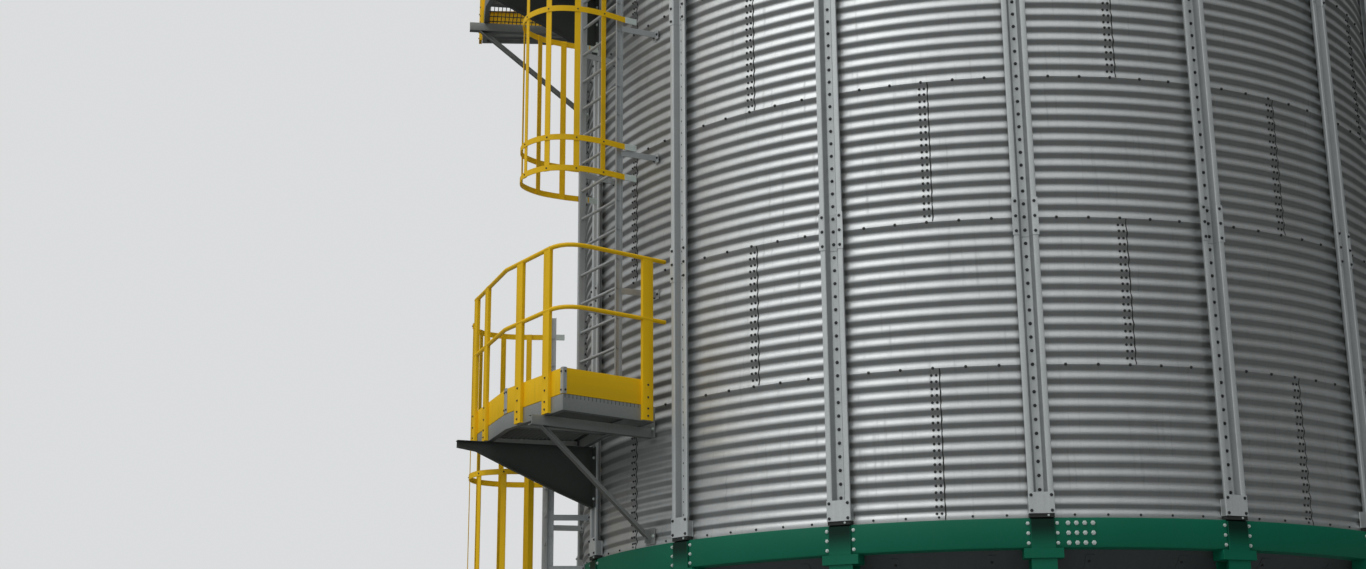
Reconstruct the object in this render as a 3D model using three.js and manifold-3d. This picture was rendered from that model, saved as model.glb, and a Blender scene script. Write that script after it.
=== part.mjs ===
// A hopper bottom feed silo: a corrugated steel tank of nine tiers on sixteen legs, with a cone below it,
// a cone roof above it, and caged ladders that climb from landing to landing.
// Millimetres, +Z up. The silo's axis is the origin while the pieces are drawn. At the end the whole silo
// is shifted so that the origin lies on the ground at the middle of its overall box.

import * as THREE from 'three';
import Module from 'manifold-3d';
import { mergeVertices } from 'three/addons/utils/BufferGeometryUtils.js';

const wasm = await Module();
wasm.setup();

// Driving dimensions of the tank
const GAP = 0.3;                        // clearance between pieces that touch
const BITE = 1;                         // how far the blocks of one body run into each other
const FACETS = 64;                      // flats around the tank, four to a bay
const SMALL_FACETS = 32;                // flats around the outlet and the roof's eye
const TUBE_FACETS = 6;
const STIFFENERS = 16;                  // stiffeners around the tank, and a leg under each
const WALL_MID_R = 3657.5;              // 24 ft tank, middle of the corrugation
const WALL_DEPTH = 14;                  // corrugation depth and sheet
const TIER = 1117.6;                    // eleven corrugations of 101.6
const TIERS = 9;
const WALL_BASE = 4000;                 // lower edge of the wall above the ground
const WALL_TOP = WALL_BASE + TIERS * TIER;

// Ring beam, cone, outlet
const BEAM_HEIGHT = 215;
const BEAM_OUTER_R = 3712;
const BEAM_INNER_R = 3592;
const BEAM_SHEET = 12;
const CONE_SHEET = 8;
const CONE_LIP = 5;                     // lip of the cone below the wall's lower edge
const OUTLET_R = 300;
const COLLAR_R = 285;
const COLLAR_FLANGE = 60;
const COLLAR_HEIGHT = 150;
const COLLAR_SHEET = 10;

// Legs
const LEG_WIDTH = 190;
const LEG_DEPTH = 160;
const LEG_FLANGE = 14;
const LEG_WEB = 10;
const HEAD_WIDTH = 290;
const HEAD_HEIGHT = 70;
const HEAD_PLATE_WIDTH = 200;
const BASE_PLATE = 340;
const BASE_SHEET = 25;
const BRACE_WIDTH = 70;
const BRACE_SHEET = 10;
const BRACE_FOOT = 380;                 // lower end of the cross bracing above the ground
const BRACE_HEAD = 260;                 // its upper end below the head plate

// Stiffeners and eave ring
const STIFFENER_WIDTH = 203;
const STIFFENER_RISE = 62;
const STIFFENER_SHEET = 5;
const STIFFENER_SEAT = 27.5;            // half of the strip that is bolted to the wall
const STIFFENER_SHOULDER = 51.5;        // where an outer flange begins
const EAVE_BAND = 90;
const EAVE_SHEET = 8;
const EAVE_FLANGE_R = 3730;

// Roof
const ROOF_SLOPE = THREE.MathUtils.degToRad(30);
const ROOF_EDGE_R = 3760;
const ROOF_EYE_R = 420;
const ROOF_SHEET = 7;
const RIB_RISE = 42;                    // ribs stand at the joints of the roof sheets, two to a bay
const RIB_FOOT = 60;
const RIB_HEAD = 22;
const RIB_TAPER = 0.6;                  // width at the eye as a share of the width at the edge
const RIB_LOW_R = ROOF_EDGE_R - 25;
const RIB_HIGH_R = ROOF_EYE_R + 20;
const ROOF_COLLAR_HEIGHT = 180;
const ROOF_COLLAR_DROP = 60;            // collar below the top of the eye
const CAP_R = 480;
const CAP_SEAT = 8;                     // clearance of the cap's skirt from the collar
const CAP_SKIRT = 70;
const CAP_RIM = 40;
const CAP_CROWN = 150;
const HATCH_R = 3250;
const HATCH_SIZE = 620;
const HATCH_HEIGHT = 110;
const HATCH_LIFT = 8;                   // hatch walls above the sheets: only the curb rests on them
const HATCH_CURB = 20;
const CURB_WIDTH = 420;
const CURB_LENGTH = 580;
const LID_SHEET = 36;
const LID_OVERHANG = 30;

// Ladders: stand-offs are measured from the middle of the wall
const LADDER_STANDOFF = 330;
const LADDER_HALF = 330;
const RAIL_DEPTH = 60;
const RAIL_SHEET = 25;
const RUNG = 28;
const RUNG_PITCH = 250;
const LADDER_RISE = 1100;               // rails above the landing that they serve
const ARM_FLAT = 50;
const ARM_SHEET = 8;
const ARM_FOOT_WIDTH = 70;
const ARM_FOOT_HEIGHT = 80;
const RAIL_BITE = 12;                   // how far an arm's end runs into the rail
const CAGE_FLAT = 40;
const CAGE_SHEET = 7;
const CAGE_MIDDLE = 600;                // middle of the cage from the middle of the wall
const CAGE_TOP = 1085;                  // top hoop above the landing that the ladder serves

// Landings
const FRAME_HEIGHT = 130;
const FRAME_SHEET = 8;
const FLOOR_SHEET = 30;
const FLOOR_INNER_R = 3790;
const FLOOR_OUTER_R = 4680;
const BRACKET_HEIGHT = 80;
const BRACKET_WIDTH = 60;
const BRACKET_TIP_R = FLOOR_OUTER_R + 110;
const BRACKET_SHEET = 8;
const GUSSET_DEPTH = 520;
const GUSSET_NOSE = 60;
const GUSSET_SHEET = 10;
const GUSSET_TIP_R = BRACKET_TIP_R + 120;
const GUSSET_PLATE_WIDTH = 190;
const GUSSET_PLATE_TOP = 20;            // top of the gusset's plate below the frame
const ARM_START = 12;                   // inner end of the strutted arm from the wall
const STRUT = 50;
const STRUT_START = 21;                 // middle of the strut's lower end from the wall
const STRUT_DROP = 870;                 // lower end of the strut below the frame
const STRUT_INSET = 110;                // its upper end from the arm's tip
const STRUT_SEAT = 20;                  // how far its upper end runs into the arm
const FOOT_SHEET = 8;
const FOOT_WIDTH = 130;
const TOE_HEIGHT = 205;
const TOE_SHEET = 6;
const TOE_OVERHANG = 2;                 // toe board outside the channel
const GUARD_RETURN = 40;                // guard's end from the floor's inner edge
const GUARD_HEIGHT = 1250;
const MID_RAIL_HEIGHT = 700;
const POST_WIDTH = 75;
const POST_DEPTH = 30;
const POST_LIFT = 6;                    // foot of a post above the frame's lower edge
const TUBE_R = 18;
const TUBE_BITE = 8;                    // how far two tubes run into each other at a bend

// Directions around the tank, in degrees: the middle ladder's bay faces -Y
const BAY = 360 / STIFFENERS;
const FACET = 360 / FACETS;
const BAY_MIDDLE = -90;
const BAY_NEXT = BAY_MIDDLE - BAY;
const STIFFENER_BETWEEN = BAY_MIDDLE - BAY / 2;

const LANDINGS = {
  1: { base: WALL_BASE + 950, bends: [-82.1, -94, -106.9], strut: -85.7, gussets: [STIFFENER_BETWEEN],
       posts: [[0, 0.06], [1, 0.26], [1, 0.73], [2, 0.58], [2, 0.95]], closed: 'first' },
  2: { base: WALL_BASE + 5080, bends: [-95.9, -106.9, -117.6], strut: -111.7, gussets: [STIFFENER_BETWEEN],
       posts: [[0, 0.1], [0, 0.6], [1, 0.5], [1, 0.95], [2, 0.75]], closed: 'last' },
  3: { base: WALL_BASE + 9900, bends: [-54, -66.5, -80, -93.5, -106.9], strut: null,
       gussets: [STIFFENER_BETWEEN, STIFFENER_BETWEEN + BAY, STIFFENER_BETWEEN + 2 * BAY],
       posts: [[0, 0.1], [1, 0.1], [1, 0.95], [2, 0.95], [3, 0.95], [4, 0.93]], closed: 'first' },
};
const landingFloor = (number) => LANDINGS[number].base + FRAME_HEIGHT;
const above = (...heights) => heights.map((z) => WALL_BASE + z);
const LADDERS = {
  1: { bay: BAY_NEXT, from: 0, landing: 1, open: 1,
       hoops: above(-1700, -1390, -300, 790), feet: above(-40, 400, 1500) },
  2: { bay: BAY_MIDDLE, from: landingFloor(1) + GAP, landing: 2, open: -1,
       hoops: above(3020, 3330, 4420), feet: above(2050, 3230, 4340) },
  3: { bay: BAY_NEXT, from: landingFloor(2) + GAP, landing: 3, open: 1,
       hoops: above(7400, 7710, 8800, 9750), feet: above(6750, 8100, 9500) },
};

// Finishes
const paint = (color, roughness, metalness) => () =>
  new THREE.MeshStandardMaterial({ color, roughness, metalness });
const galvanised = paint(0xb4b8b8, 0.45, 0.7);
const oldZinc = paint(0x8b9090, 0.55, 0.6);
const greenPaint = paint(0x14563e, 0.5, 0.0);
const yellowPaint = paint(0xc49a12, 0.5, 0.0);
const darkZinc = paint(0x565b5c, 0.55, 0.5);

const radians = THREE.MathUtils.degToRad;
const plan = (radius, angle) => new THREE.Vector2(
  radius * Math.cos(radians(angle)), radius * Math.sin(radians(angle)));

// The corner radius of a regular ring whose flats lie at the given distance from the axis
const cornerRadius = (flat) => flat / Math.cos(Math.PI / FACETS);

// A solid's surface has to face out: one that came out inside out is turned
function closed(geometry) {
  const bare = geometry.clone();
  bare.deleteAttribute('normal');
  bare.deleteAttribute('uv');
  const merged = mergeVertices(bare, 1e-3);
  const at = merged.getAttribute('position');
  const index = merged.getIndex().array;
  const corner = [new THREE.Vector3(), new THREE.Vector3(), new THREE.Vector3()];
  const kept = [];
  let volume = 0;
  for (let i = 0; i < index.length; i += 3) {
    const [a, b, c] = [index[i], index[i + 1], index[i + 2]];
    if (a === b || b === c || c === a) continue;
    corner.forEach((v, k) => v.fromBufferAttribute(at, index[i + k]));
    volume += corner[0].dot(corner[1].clone().cross(corner[2]));
    kept.push(a, b, c);
  }
  if (volume < 0) {
    for (let i = 0; i < kept.length; i += 3) [kept[i], kept[i + 1]] = [kept[i + 1], kept[i]];
  }
  merged.setIndex(kept);
  return merged;
}

function solid(geometry) {
  const g = closed(geometry);
  return new wasm.Manifold(new wasm.Mesh({
    numProp: 3,
    vertProperties: new Float32Array(g.getAttribute('position').array),
    triVerts: new Uint32Array(g.getIndex().array),
  }));
}

function surface(manifold) {
  const mesh = manifold.getMesh();
  const geometry = new THREE.BufferGeometry();
  geometry.setAttribute('position', new THREE.BufferAttribute(new Float32Array(mesh.vertProperties), 3));
  geometry.setIndex(new THREE.BufferAttribute(new Uint32Array(mesh.triVerts), 1));
  return geometry;
}

function join(geometries, cuts = []) {
  let whole = solid(geometries[0]);
  for (const g of geometries.slice(1)) whole = whole.add(solid(g));
  for (const g of cuts) whole = whole.subtract(solid(g));
  return surface(whole);
}

// A ring turned about the tank's axis from a closed outline of [radius to the flats, height]
function ring(outline, facets = FACETS) {
  const corner = 1 / Math.cos(Math.PI / facets);
  const points = outline.map(([r, z]) => new THREE.Vector2(r * corner, z));
  if (outline[0][0] > 0) points.push(points[0].clone());
  const geometry = new THREE.LatheGeometry(points, facets);
  geometry.rotateX(Math.PI / 2);
  geometry.rotateZ(Math.PI / facets);
  return closed(geometry);
}

function prism(corners, low, high) {
  const geometry = new THREE.ExtrudeGeometry(new THREE.Shape(corners), {
    depth: high - low, bevelEnabled: false, steps: 1, curveSegments: 1,
  });
  geometry.translate(0, 0, low);
  return closed(geometry);
}

// A block in a bay's own frame: across the bay, outward from the axis, and up. The bay faces -Y.
function block(across, outward, up) {
  const [x0, x1] = across;
  const [r0, r1] = outward;
  const [z0, z1] = up;
  const geometry = new THREE.BoxGeometry(x1 - x0, r1 - r0, z1 - z0);
  geometry.translate((x0 + x1) / 2, -(r0 + r1) / 2, (z0 + z1) / 2);
  return geometry;
}

const turned = (geometry, angle) => geometry.clone().rotateZ(radians(angle - BAY_MIDDLE));

// A straight bar between two points, its width level and its depth square to both
function along(geometry, from, to) {
  const run = to.clone().sub(from);
  const up = run.clone().normalize();
  const level = new THREE.Vector3(0, 0, 1).cross(up).normalize();
  const frame = new THREE.Matrix4().makeBasis(level, up.clone().cross(level), up);
  frame.setPosition(from.clone().add(to).multiplyScalar(0.5));
  return geometry.applyMatrix4(frame);
}

const bar = (from, to, width, depth) =>
  along(new THREE.BoxGeometry(width, depth, from.distanceTo(to)), from, to);

function tube(from, to, radius) {
  const cylinder = new THREE.CylinderGeometry(radius, radius, from.distanceTo(to), TUBE_FACETS);
  return along(cylinder.rotateX(Math.PI / 2), from, to);
}

const lifted = (point, z) => new THREE.Vector3(point.x, point.y, z);

// A path moved sideways in plan, with mitred corners. A positive distance is to the right of its direction.
function offset(path, distance, isClosed = false) {
  const count = path.length;
  const side = (a, b) => {
    const d = b.clone().sub(a).normalize();
    return new THREE.Vector2(d.y, -d.x);
  };
  return path.map((point, i) => {
    const before = isClosed || i > 0 ? side(path[(i + count - 1) % count], point) : null;
    const after = isClosed || i < count - 1 ? side(point, path[(i + 1) % count]) : null;
    const one = before ?? after;
    const two = after ?? before;
    const mitre = one.clone().add(two).normalize();
    return point.clone().addScaledVector(mitre, distance / mitre.dot(one));
  });
}

// Wall tiers: each is a ring of corrugated sheets, drawn as its plain envelope
const wallInner = WALL_MID_R - WALL_DEPTH / 2;
const wallOuter = WALL_MID_R + WALL_DEPTH / 2;
const wallFace = wallOuter + GAP;
const tierRing = ring([
  [wallInner, GAP / 2], [wallOuter, GAP / 2], [wallOuter, TIER - GAP / 2], [wallInner, TIER - GAP / 2],
]);

// Ring beam: a channel rolled with its web outward, under the wall's lower edge
const beamTop = WALL_BASE - GAP;
const beamBase = beamTop - BEAM_HEIGHT;
const ringBeam = ring([
  [BEAM_INNER_R, beamBase], [BEAM_OUTER_R, beamBase], [BEAM_OUTER_R, beamTop], [BEAM_INNER_R, beamTop],
  [BEAM_INNER_R, beamTop - BEAM_SHEET], [BEAM_OUTER_R - BEAM_SHEET, beamTop - BEAM_SHEET],
  [BEAM_OUTER_R - BEAM_SHEET, beamBase + BEAM_SHEET], [BEAM_INNER_R, beamBase + BEAM_SHEET],
]);

// Cone: a lip inside the ring beam, then 45 degrees down to the outlet
const coneR = BEAM_INNER_R - GAP;
const coneBottom = beamBase - (coneR - OUTLET_R);
const coneSlant = CONE_SHEET * Math.SQRT2;
const coneShell = ring([
  [coneR, WALL_BASE - CONE_LIP], [coneR, beamBase],
  [OUTLET_R, coneBottom], [OUTLET_R - coneSlant, coneBottom],
  [coneR - CONE_SHEET, beamBase + coneSlant - CONE_SHEET], [coneR - CONE_SHEET, WALL_BASE - CONE_LIP],
]);

// Outlet collar: a short tube with a flange at both ends, open right through
const collarTop = coneBottom - GAP;
const collarBase = collarTop - COLLAR_HEIGHT;
const flangeR = COLLAR_R + COLLAR_FLANGE;
const outletCollar = ring([
  [COLLAR_R, collarBase], [flangeR, collarBase],
  [flangeR, collarBase + COLLAR_SHEET], [COLLAR_R + COLLAR_SHEET, collarBase + COLLAR_SHEET],
  [COLLAR_R + COLLAR_SHEET, collarTop - COLLAR_SHEET], [flangeR, collarTop - COLLAR_SHEET],
  [flangeR, collarTop], [COLLAR_R, collarTop],
], SMALL_FACETS);

// Legs: I sections on base plates, with a head plate under the ring beam and a plate over its web
const headTop = beamBase - GAP;
const headBase = headTop - HEAD_HEIGHT;
const legOuter = BEAM_OUTER_R;
const legInner = legOuter - LEG_DEPTH;
const legMiddle = (legOuter + legInner) / 2;
const facePlate = [BEAM_OUTER_R + GAP, BEAM_OUTER_R + GAP + BEAM_SHEET];

// A band of the given width about a middle line
const about = (middle, width) => [middle - width / 2, middle + width / 2];

function leg(angle) {
  const rise = [BASE_SHEET - BITE, headBase + BITE];
  const flange = about(0, LEG_WIDTH);
  const pieces = [
    block(about(0, LEG_WEB), [legInner + BITE, legOuter - BITE], rise),
    block(flange, [legInner, legInner + LEG_FLANGE], rise),
    block(flange, [legOuter - LEG_FLANGE, legOuter], rise),
    block(about(0, BASE_PLATE), about(legMiddle, BASE_PLATE), [0, BASE_SHEET]),
    block(about(0, HEAD_WIDTH), [BEAM_INNER_R + BITE, facePlate[1]], [headBase, headTop]),
    block(about(0, HEAD_PLATE_WIDTH), facePlate, [headTop - BITE, beamTop - BEAM_SHEET]),
  ];
  return pieces.map((g) => turned(g, angle));
}

function legPair() {
  const [left, right] = [BAY_MIDDLE - BAY / 2, BAY_MIDDLE + BAY / 2];
  const cross = [[left, right], [right, left]].map(([from, to]) => {
    const foot = lifted(plan(legMiddle, from), BRACE_FOOT);
    const head = lifted(plan(legMiddle, to), headBase - BRACE_HEAD);
    return bar(foot, head, BRACE_SHEET, BRACE_WIDTH);
  });
  return join([...leg(left), ...leg(right), ...cross]);
}

// Stiffeners: a folded section whose middle strip is bolted to the wall, four to an eave ring quarter
function stiffener(angle) {
  const s = STIFFENER_SHEET;
  const inner = wallFace;
  const outer = wallFace + STIFFENER_RISE;
  const half = STIFFENER_WIDTH / 2;
  const rightHalf = [
    [STIFFENER_SEAT, inner], [STIFFENER_SHOULDER + s / 2, outer - s], [half, outer - s], [half, outer],
    [STIFFENER_SHOULDER - s / 2, outer], [STIFFENER_SEAT - s, inner + s],
  ];
  const leftHalf = rightHalf.map(([x, r]) => [-x, r]).reverse();
  const outline = [...rightHalf, ...leftHalf].map(([x, r]) => new THREE.Vector2(x, -r));
  return turned(prism(outline, WALL_BASE + GAP / 2, WALL_TOP - GAP / 2), angle);
}

// Part of a ring. Its ends are trimmed by a hundredth of a degree, so that neighbours don't touch.
function sector(inner, outer, from, to, low, high) {
  const steps = Math.round((to - from) / FACET);
  const trim = (i) => (i === 0 ? 0.01 : 0) - (i === steps ? 0.01 : 0);
  const rim = (flat) => Array.from({ length: steps + 1 }, (_, i) =>
    plan(cornerRadius(flat), from + i * FACET + trim(i)));
  return prism([...rim(outer), ...rim(inner).reverse()], low, high);
}

function stiffenerQuarter() {
  const first = BAY_MIDDLE - BAY / 2;
  const from = first - FACET * 1.5;
  const to = from + 90;
  const top = WALL_TOP - GAP / 2;
  return join([
    ...[0, 1, 2, 3].map((i) => stiffener(first + i * BAY)),
    sector(wallFace, wallFace + EAVE_SHEET, from, to, top - EAVE_BAND, top),
    sector(wallFace, EAVE_FLANGE_R, from, to, top - EAVE_SHEET, top),
  ]);
}

// Roof: a cone of sheets, a collar at its eye with a cap over it, and an access hatch above the landing
const roofRise = (flat) => (ROOF_EDGE_R - flat) * Math.tan(ROOF_SLOPE);
const roofBase = WALL_TOP + GAP - roofRise(EAVE_FLANGE_R);
const roofDrop = ROOF_SHEET / Math.cos(ROOF_SLOPE);
const roofTop = (flat) => roofBase + roofDrop + roofRise(flat);
const roofShell = ring([
  [ROOF_EDGE_R, roofBase], [ROOF_EDGE_R, roofTop(ROOF_EDGE_R)],
  [ROOF_EYE_R, roofTop(ROOF_EYE_R)], [ROOF_EYE_R, roofBase + roofRise(ROOF_EYE_R)],
]);

// A rib on one flat of the roof, between two distances from the axis
function roofRib(angle, lowR, highR) {
  const outline = [[-RIB_FOOT, -BITE], [-RIB_HEAD, RIB_RISE], [RIB_HEAD, RIB_RISE], [RIB_FOOT, -BITE]];
  const end = (flat) => {
    const share = THREE.MathUtils.mapLinear(flat, RIB_LOW_R, RIB_HIGH_R, 1, RIB_TAPER);
    return outline.map(([width, rise]) => [
      width / 2 * share,
      -flat - rise * Math.sin(ROOF_SLOPE),
      roofTop(flat) + rise * Math.cos(ROOF_SLOPE),
    ]);
  };
  return turned(surface(wasm.Manifold.hull([...end(lowR), ...end(highR)])), angle);
}

// The rib in the middle bay is left out where the hatch stands
const hatchReach = (HATCH_SIZE / 2 + LID_OVERHANG) * Math.cos(ROOF_SLOPE);

function ribbedRoof() {
  const ribs = [
    roofRib(BAY_MIDDLE, RIB_LOW_R, HATCH_R + hatchReach),
    roofRib(BAY_MIDDLE, HATCH_R - hatchReach, RIB_HIGH_R),
  ];
  for (let i = 1; i < 2 * STIFFENERS; i += 1) {
    ribs.push(roofRib(BAY_MIDDLE + i * BAY / 2, RIB_LOW_R, RIB_HIGH_R));
  }
  return join([roofShell, ...ribs]);
}

const eyeTop = roofTop(ROOF_EYE_R);
const collarOuter = (ROOF_EYE_R - GAP) * Math.cos(Math.PI / SMALL_FACETS);
const collarInner = collarOuter - COLLAR_SHEET;
const roofCollar = ring([
  [collarInner, eyeTop - ROOF_COLLAR_DROP], [collarOuter, eyeTop - ROOF_COLLAR_DROP],
  [collarOuter, eyeTop + ROOF_COLLAR_HEIGHT], [collarInner, eyeTop + ROOF_COLLAR_HEIGHT],
], SMALL_FACETS);
const capBase = eyeTop + ROOF_COLLAR_HEIGHT + GAP;
const skirtBase = capBase - CAP_SKIRT;
const roofCap = ring([
  [0, capBase], [ROOF_EYE_R, capBase], [ROOF_EYE_R + CAP_SEAT, skirtBase], [CAP_R, skirtBase],
  [CAP_R, skirtBase + CAP_RIM], [ROOF_EYE_R - CAP_RIM, capBase + CAP_RIM], [0, capBase + CAP_CROWN],
], SMALL_FACETS);

// A level slab about the origin
function slab(width, depth, low, high) {
  const geometry = new THREE.BoxGeometry(width, depth, high - low);
  return geometry.translate(0, 0, (low + high) / 2);
}

function roofHatch() {
  const lidSize = HATCH_SIZE + 2 * LID_OVERHANG;
  const lidBase = HATCH_HEIGHT;
  const hatch = join([
    slab(HATCH_SIZE, HATCH_SIZE, HATCH_LIFT, HATCH_HEIGHT + HATCH_LIFT),
    slab(lidSize, lidSize, lidBase, lidBase + LID_SHEET),
    slab(CURB_WIDTH, CURB_LENGTH, 0, HATCH_CURB),
  ]);
  hatch.rotateX(ROOF_SLOPE);
  return hatch.translate(0, -HATCH_R, roofTop(HATCH_R) + GAP);
}

// A foot plate on the flat of the wall that holds the given direction
function wallFoot(angle, width, low, high) {
  const flat = Math.round((angle - BAY_MIDDLE) / FACET) * FACET + BAY_MIDDLE;
  const shift = wallOuter * Math.tan(radians(angle - flat));
  return turned(block(about(shift, width), [wallFace, wallFace + FOOT_SHEET], [low, high]), flat);
}

// Ladder: two rails, square rungs and feet on the wall
function ladder({ bay, from, landing, feet }) {
  const top = landingFloor(landing) + LADDER_RISE;
  const r = WALL_MID_R + LADDER_STANDOFF;
  const sides = [-1, 1];
  const pieces = sides.map((side) =>
    block(about(side * LADDER_HALF, RAIL_SHEET), about(r, RAIL_DEPTH), [from, top]));
  for (let z = from + RUNG_PITCH; z < top - RUNG_PITCH / 2; z += RUNG_PITCH) {
    pieces.push(block([-LADDER_HALF, LADDER_HALF], about(r, RUNG), about(z, RUNG)));
  }
  const arms = feet.flatMap((z) => sides.map((side) => ladderArm(bay, side, r, z))).flat();
  return join([turned(join(pieces), bay), ...arms]);
}

// An arm that holds a rail off the wall, or off the ring beam, and the arm's foot plate
function ladderArm(bay, side, r, z) {
  const spread = bay + side * FACET;
  const face = z < WALL_BASE ? BEAM_OUTER_R + GAP : wallFace;
  const rail = new THREE.Vector2(side * (LADDER_HALF + RAIL_BITE / 2), -(r - RAIL_DEPTH / 2 + RAIL_BITE))
    .rotateAround(new THREE.Vector2(), radians(bay - BAY_MIDDLE));
  const foot = plan(face + ARM_SHEET / 2, spread);
  return [
    turned(block(about(0, ARM_FOOT_WIDTH), [face, face + ARM_SHEET], about(z, ARM_FOOT_HEIGHT)), spread),
    bar(lifted(foot, z), lifted(rail, z), ARM_SHEET, ARM_FLAT),
  ];
}

// Cage: hoops of flat bar from rail to rail and upright flats inside them. It is open beside the landing.
const HOOP = [[LADDER_STANDOFF, 346.4], [640, 400], [900, 300], [1015, 100]];
const hoopRound = [...HOOP, ...HOOP.map(([s, t]) => [s, -t]).reverse()];

function cage({ bay, landing, hoops, open }) {
  const top = landingFloor(landing) + CAGE_TOP;
  const path = hoopRound.map(([s, t]) => new THREE.Vector2(t, -(WALL_MID_R + s)));
  const corners = path.length;
  const half = CAGE_SHEET / 2;
  const band = (points) => [...offset(points, -half), ...offset(points, half).reverse()];
  const hoop = (points, z) => prism(band(points), ...about(z, CAGE_FLAT));
  const isKept = (i) => (open > 0 ? i >= corners / 2 - 1 : i <= corners / 2);
  const pieces = [...hoops.map((z) => hoop(path, z)), hoop(path.filter((_, i) => isKept(i)), top)];
  const middle = new THREE.Vector2(0, -(WALL_MID_R + CAGE_MIDDLE));
  for (let i = 1; i < corners - 1; i += 1) {
    const inward = middle.clone().sub(path[i]).normalize();
    const at = path[i].clone().addScaledVector(inward, CAGE_SHEET - BITE);
    const high = (isKept(i) ? top : hoops.at(-1)) + CAGE_FLAT / 2;
    const low = hoops[0] - CAGE_FLAT / 2;
    const upright = new THREE.BoxGeometry(CAGE_FLAT, CAGE_SHEET, high - low);
    upright.rotateZ(inward.angle() + Math.PI / 2);
    upright.translate(at.x, at.y, (high + low) / 2);
    pieces.push(upright);
  }
  return turned(join(pieces), bay);
}

// A gusset under a landing: an upright plate, a plate on the stiffener and a flat along the top
function gusset(angle, base) {
  const face = wallFace + STIFFENER_RISE + GAP;
  const profile = [
    [face, base - GUSSET_DEPTH], [GUSSET_TIP_R, base - GUSSET_NOSE],
    [GUSSET_TIP_R, base + BITE], [face, base + BITE],
  ];
  const shape = new THREE.Shape(profile.map(([r, z]) => new THREE.Vector2(r, z)));
  const plate = new THREE.ExtrudeGeometry(shape, { depth: GUSSET_SHEET, bevelEnabled: false });
  plate.rotateX(Math.PI / 2).translate(0, GUSSET_SHEET / 2, 0).rotateZ(radians(angle));
  const seat = block(about(0, GUSSET_PLATE_WIDTH), [face, face + FOOT_SHEET],
    [base - GUSSET_DEPTH, base - GUSSET_PLATE_TOP]);
  const flat = block(about(0, BRACKET_WIDTH), [face + BITE, GUSSET_TIP_R],
    [base - BRACKET_SHEET, base + BITE]);
  return [plate, turned(seat, angle), turned(flat, angle)];
}

// An arm under a landing's end, a strut below it and their feet on the wall
function strutted(angle, base) {
  const arm = block(about(0, BRACKET_WIDTH), [wallFace + ARM_START, BRACKET_TIP_R],
    [base - BRACKET_HEIGHT, base + BITE]);
  const strutFoot = lifted(plan(wallFace + STRUT_START, angle), base - STRUT_DROP);
  const strutHead = lifted(plan(BRACKET_TIP_R - STRUT_INSET, angle), base - BRACKET_HEIGHT + STRUT_SEAT);
  const level = base - BRACKET_HEIGHT / 2;
  const stubEnd = (out) => lifted(plan(wallFace + out, angle), level);
  return [
    turned(arm, angle),
    bar(strutFoot, strutHead, STRUT, STRUT),
    wallFoot(angle, FOOT_WIDTH, ...about(base - STRUT_DROP, FOOT_WIDTH)),
    wallFoot(angle, FOOT_WIDTH, base - BRACKET_HEIGHT, base + BRACKET_WIDTH),
    bar(stubEnd(FOOT_SHEET / 2), stubEnd(ARM_START + STRUT_SEAT), BRACKET_WIDTH, BRACKET_WIDTH),
  ];
}

// Landing: a channel frame with a floor, carried on a strutted arm and on gussets at the stiffeners
function landingFrame({ base, bends, strut, gussets }) {
  const outer = bends.map((a) => plan(FLOOR_OUTER_R, a));
  const inner = bends.map((a) => plan(FLOOR_INNER_R, a)).reverse();
  const outline = [...outer, ...inner];
  const sense = THREE.ShapeUtils.isClockWise(outline) ? 1 : -1;
  const inside = offset(outline, sense * FRAME_SHEET, true);
  const top = base + FRAME_HEIGHT;
  const frame = join([prism(outline, base, top)], [prism(inside, base - BITE, top - FLOOR_SHEET)]);
  const arms = strut === null ? [] : strutted(strut, base);
  return join([frame, ...gussets.flatMap((angle) => gusset(angle, base)), ...arms]);
}

// Guard: toe board, posts bolted outside the channel, and two tubes
function guard({ base, bends, posts, closed: shut }) {
  const ends = { first: bends[0], last: bends.at(-1) };
  const corners = bends.map((a) => plan(FLOOR_OUTER_R, a));
  const wallEnd = plan(FLOOR_INNER_R + GUARD_RETURN, ends[shut]);
  const path = shut === 'first' ? [wallEnd, ...corners] : [...corners, wallEnd];
  const floor = base + FRAME_HEIGHT;
  const middle = plan((FLOOR_INNER_R + FLOOR_OUTER_R) / 2, (bends[0] + bends.at(-1)) / 2);
  const onRight = (distance) => offset(path, distance)[1].distanceTo(middle);
  const sign = onRight(TOE_SHEET) > onRight(-TOE_SHEET) ? 1 : -1;
  const outward = (distance) => offset(path, sign * distance);
  const toe = [...outward(TOE_OVERHANG), ...outward(TOE_OVERHANG - TOE_SHEET).reverse()];
  const pieces = [prism(toe, floor + GAP, floor + TOE_HEIGHT)];
  const run = outward(GAP + POST_DEPTH / 2);
  for (const z of [floor + GUARD_HEIGHT, floor + MID_RAIL_HEIGHT]) {
    for (let i = 0; i < run.length - 1; i += 1) {
      const more = run[i + 1].clone().sub(run[i]).setLength(TUBE_BITE);
      const from = i > 0 ? run[i].clone().sub(more) : run[i];
      const to = i < run.length - 2 ? run[i + 1].clone().add(more) : run[i + 1];
      pieces.push(tube(lifted(from, z), lifted(to, z), TUBE_R));
    }
  }
  for (const [piece, share] of posts) {
    const at = run[piece].clone().lerp(run[piece + 1], share);
    const direction = run[piece + 1].clone().sub(run[piece]);
    const post = slab(POST_WIDTH, POST_DEPTH, base + POST_LIFT, floor + GUARD_HEIGHT);
    post.rotateZ(direction.angle());
    post.translate(at.x, at.y, 0);
    pieces.push(post);
  }
  return join(pieces);
}

// Assembly
const silo = new THREE.Group();

function add(name, geometry, material) {
  const mesh = new THREE.Mesh(geometry, material());
  mesh.name = name;
  silo.add(mesh);
  return mesh;
}

for (let i = 0; i < TIERS; i += 1) {
  add(`wall_ring_${i + 1}`, tierRing, galvanised).position.z = WALL_BASE + i * TIER;
}
add('ring_beam', ringBeam, greenPaint);
add('hopper_cone', coneShell, oldZinc);
add('outlet_collar', outletCollar, oldZinc);

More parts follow.
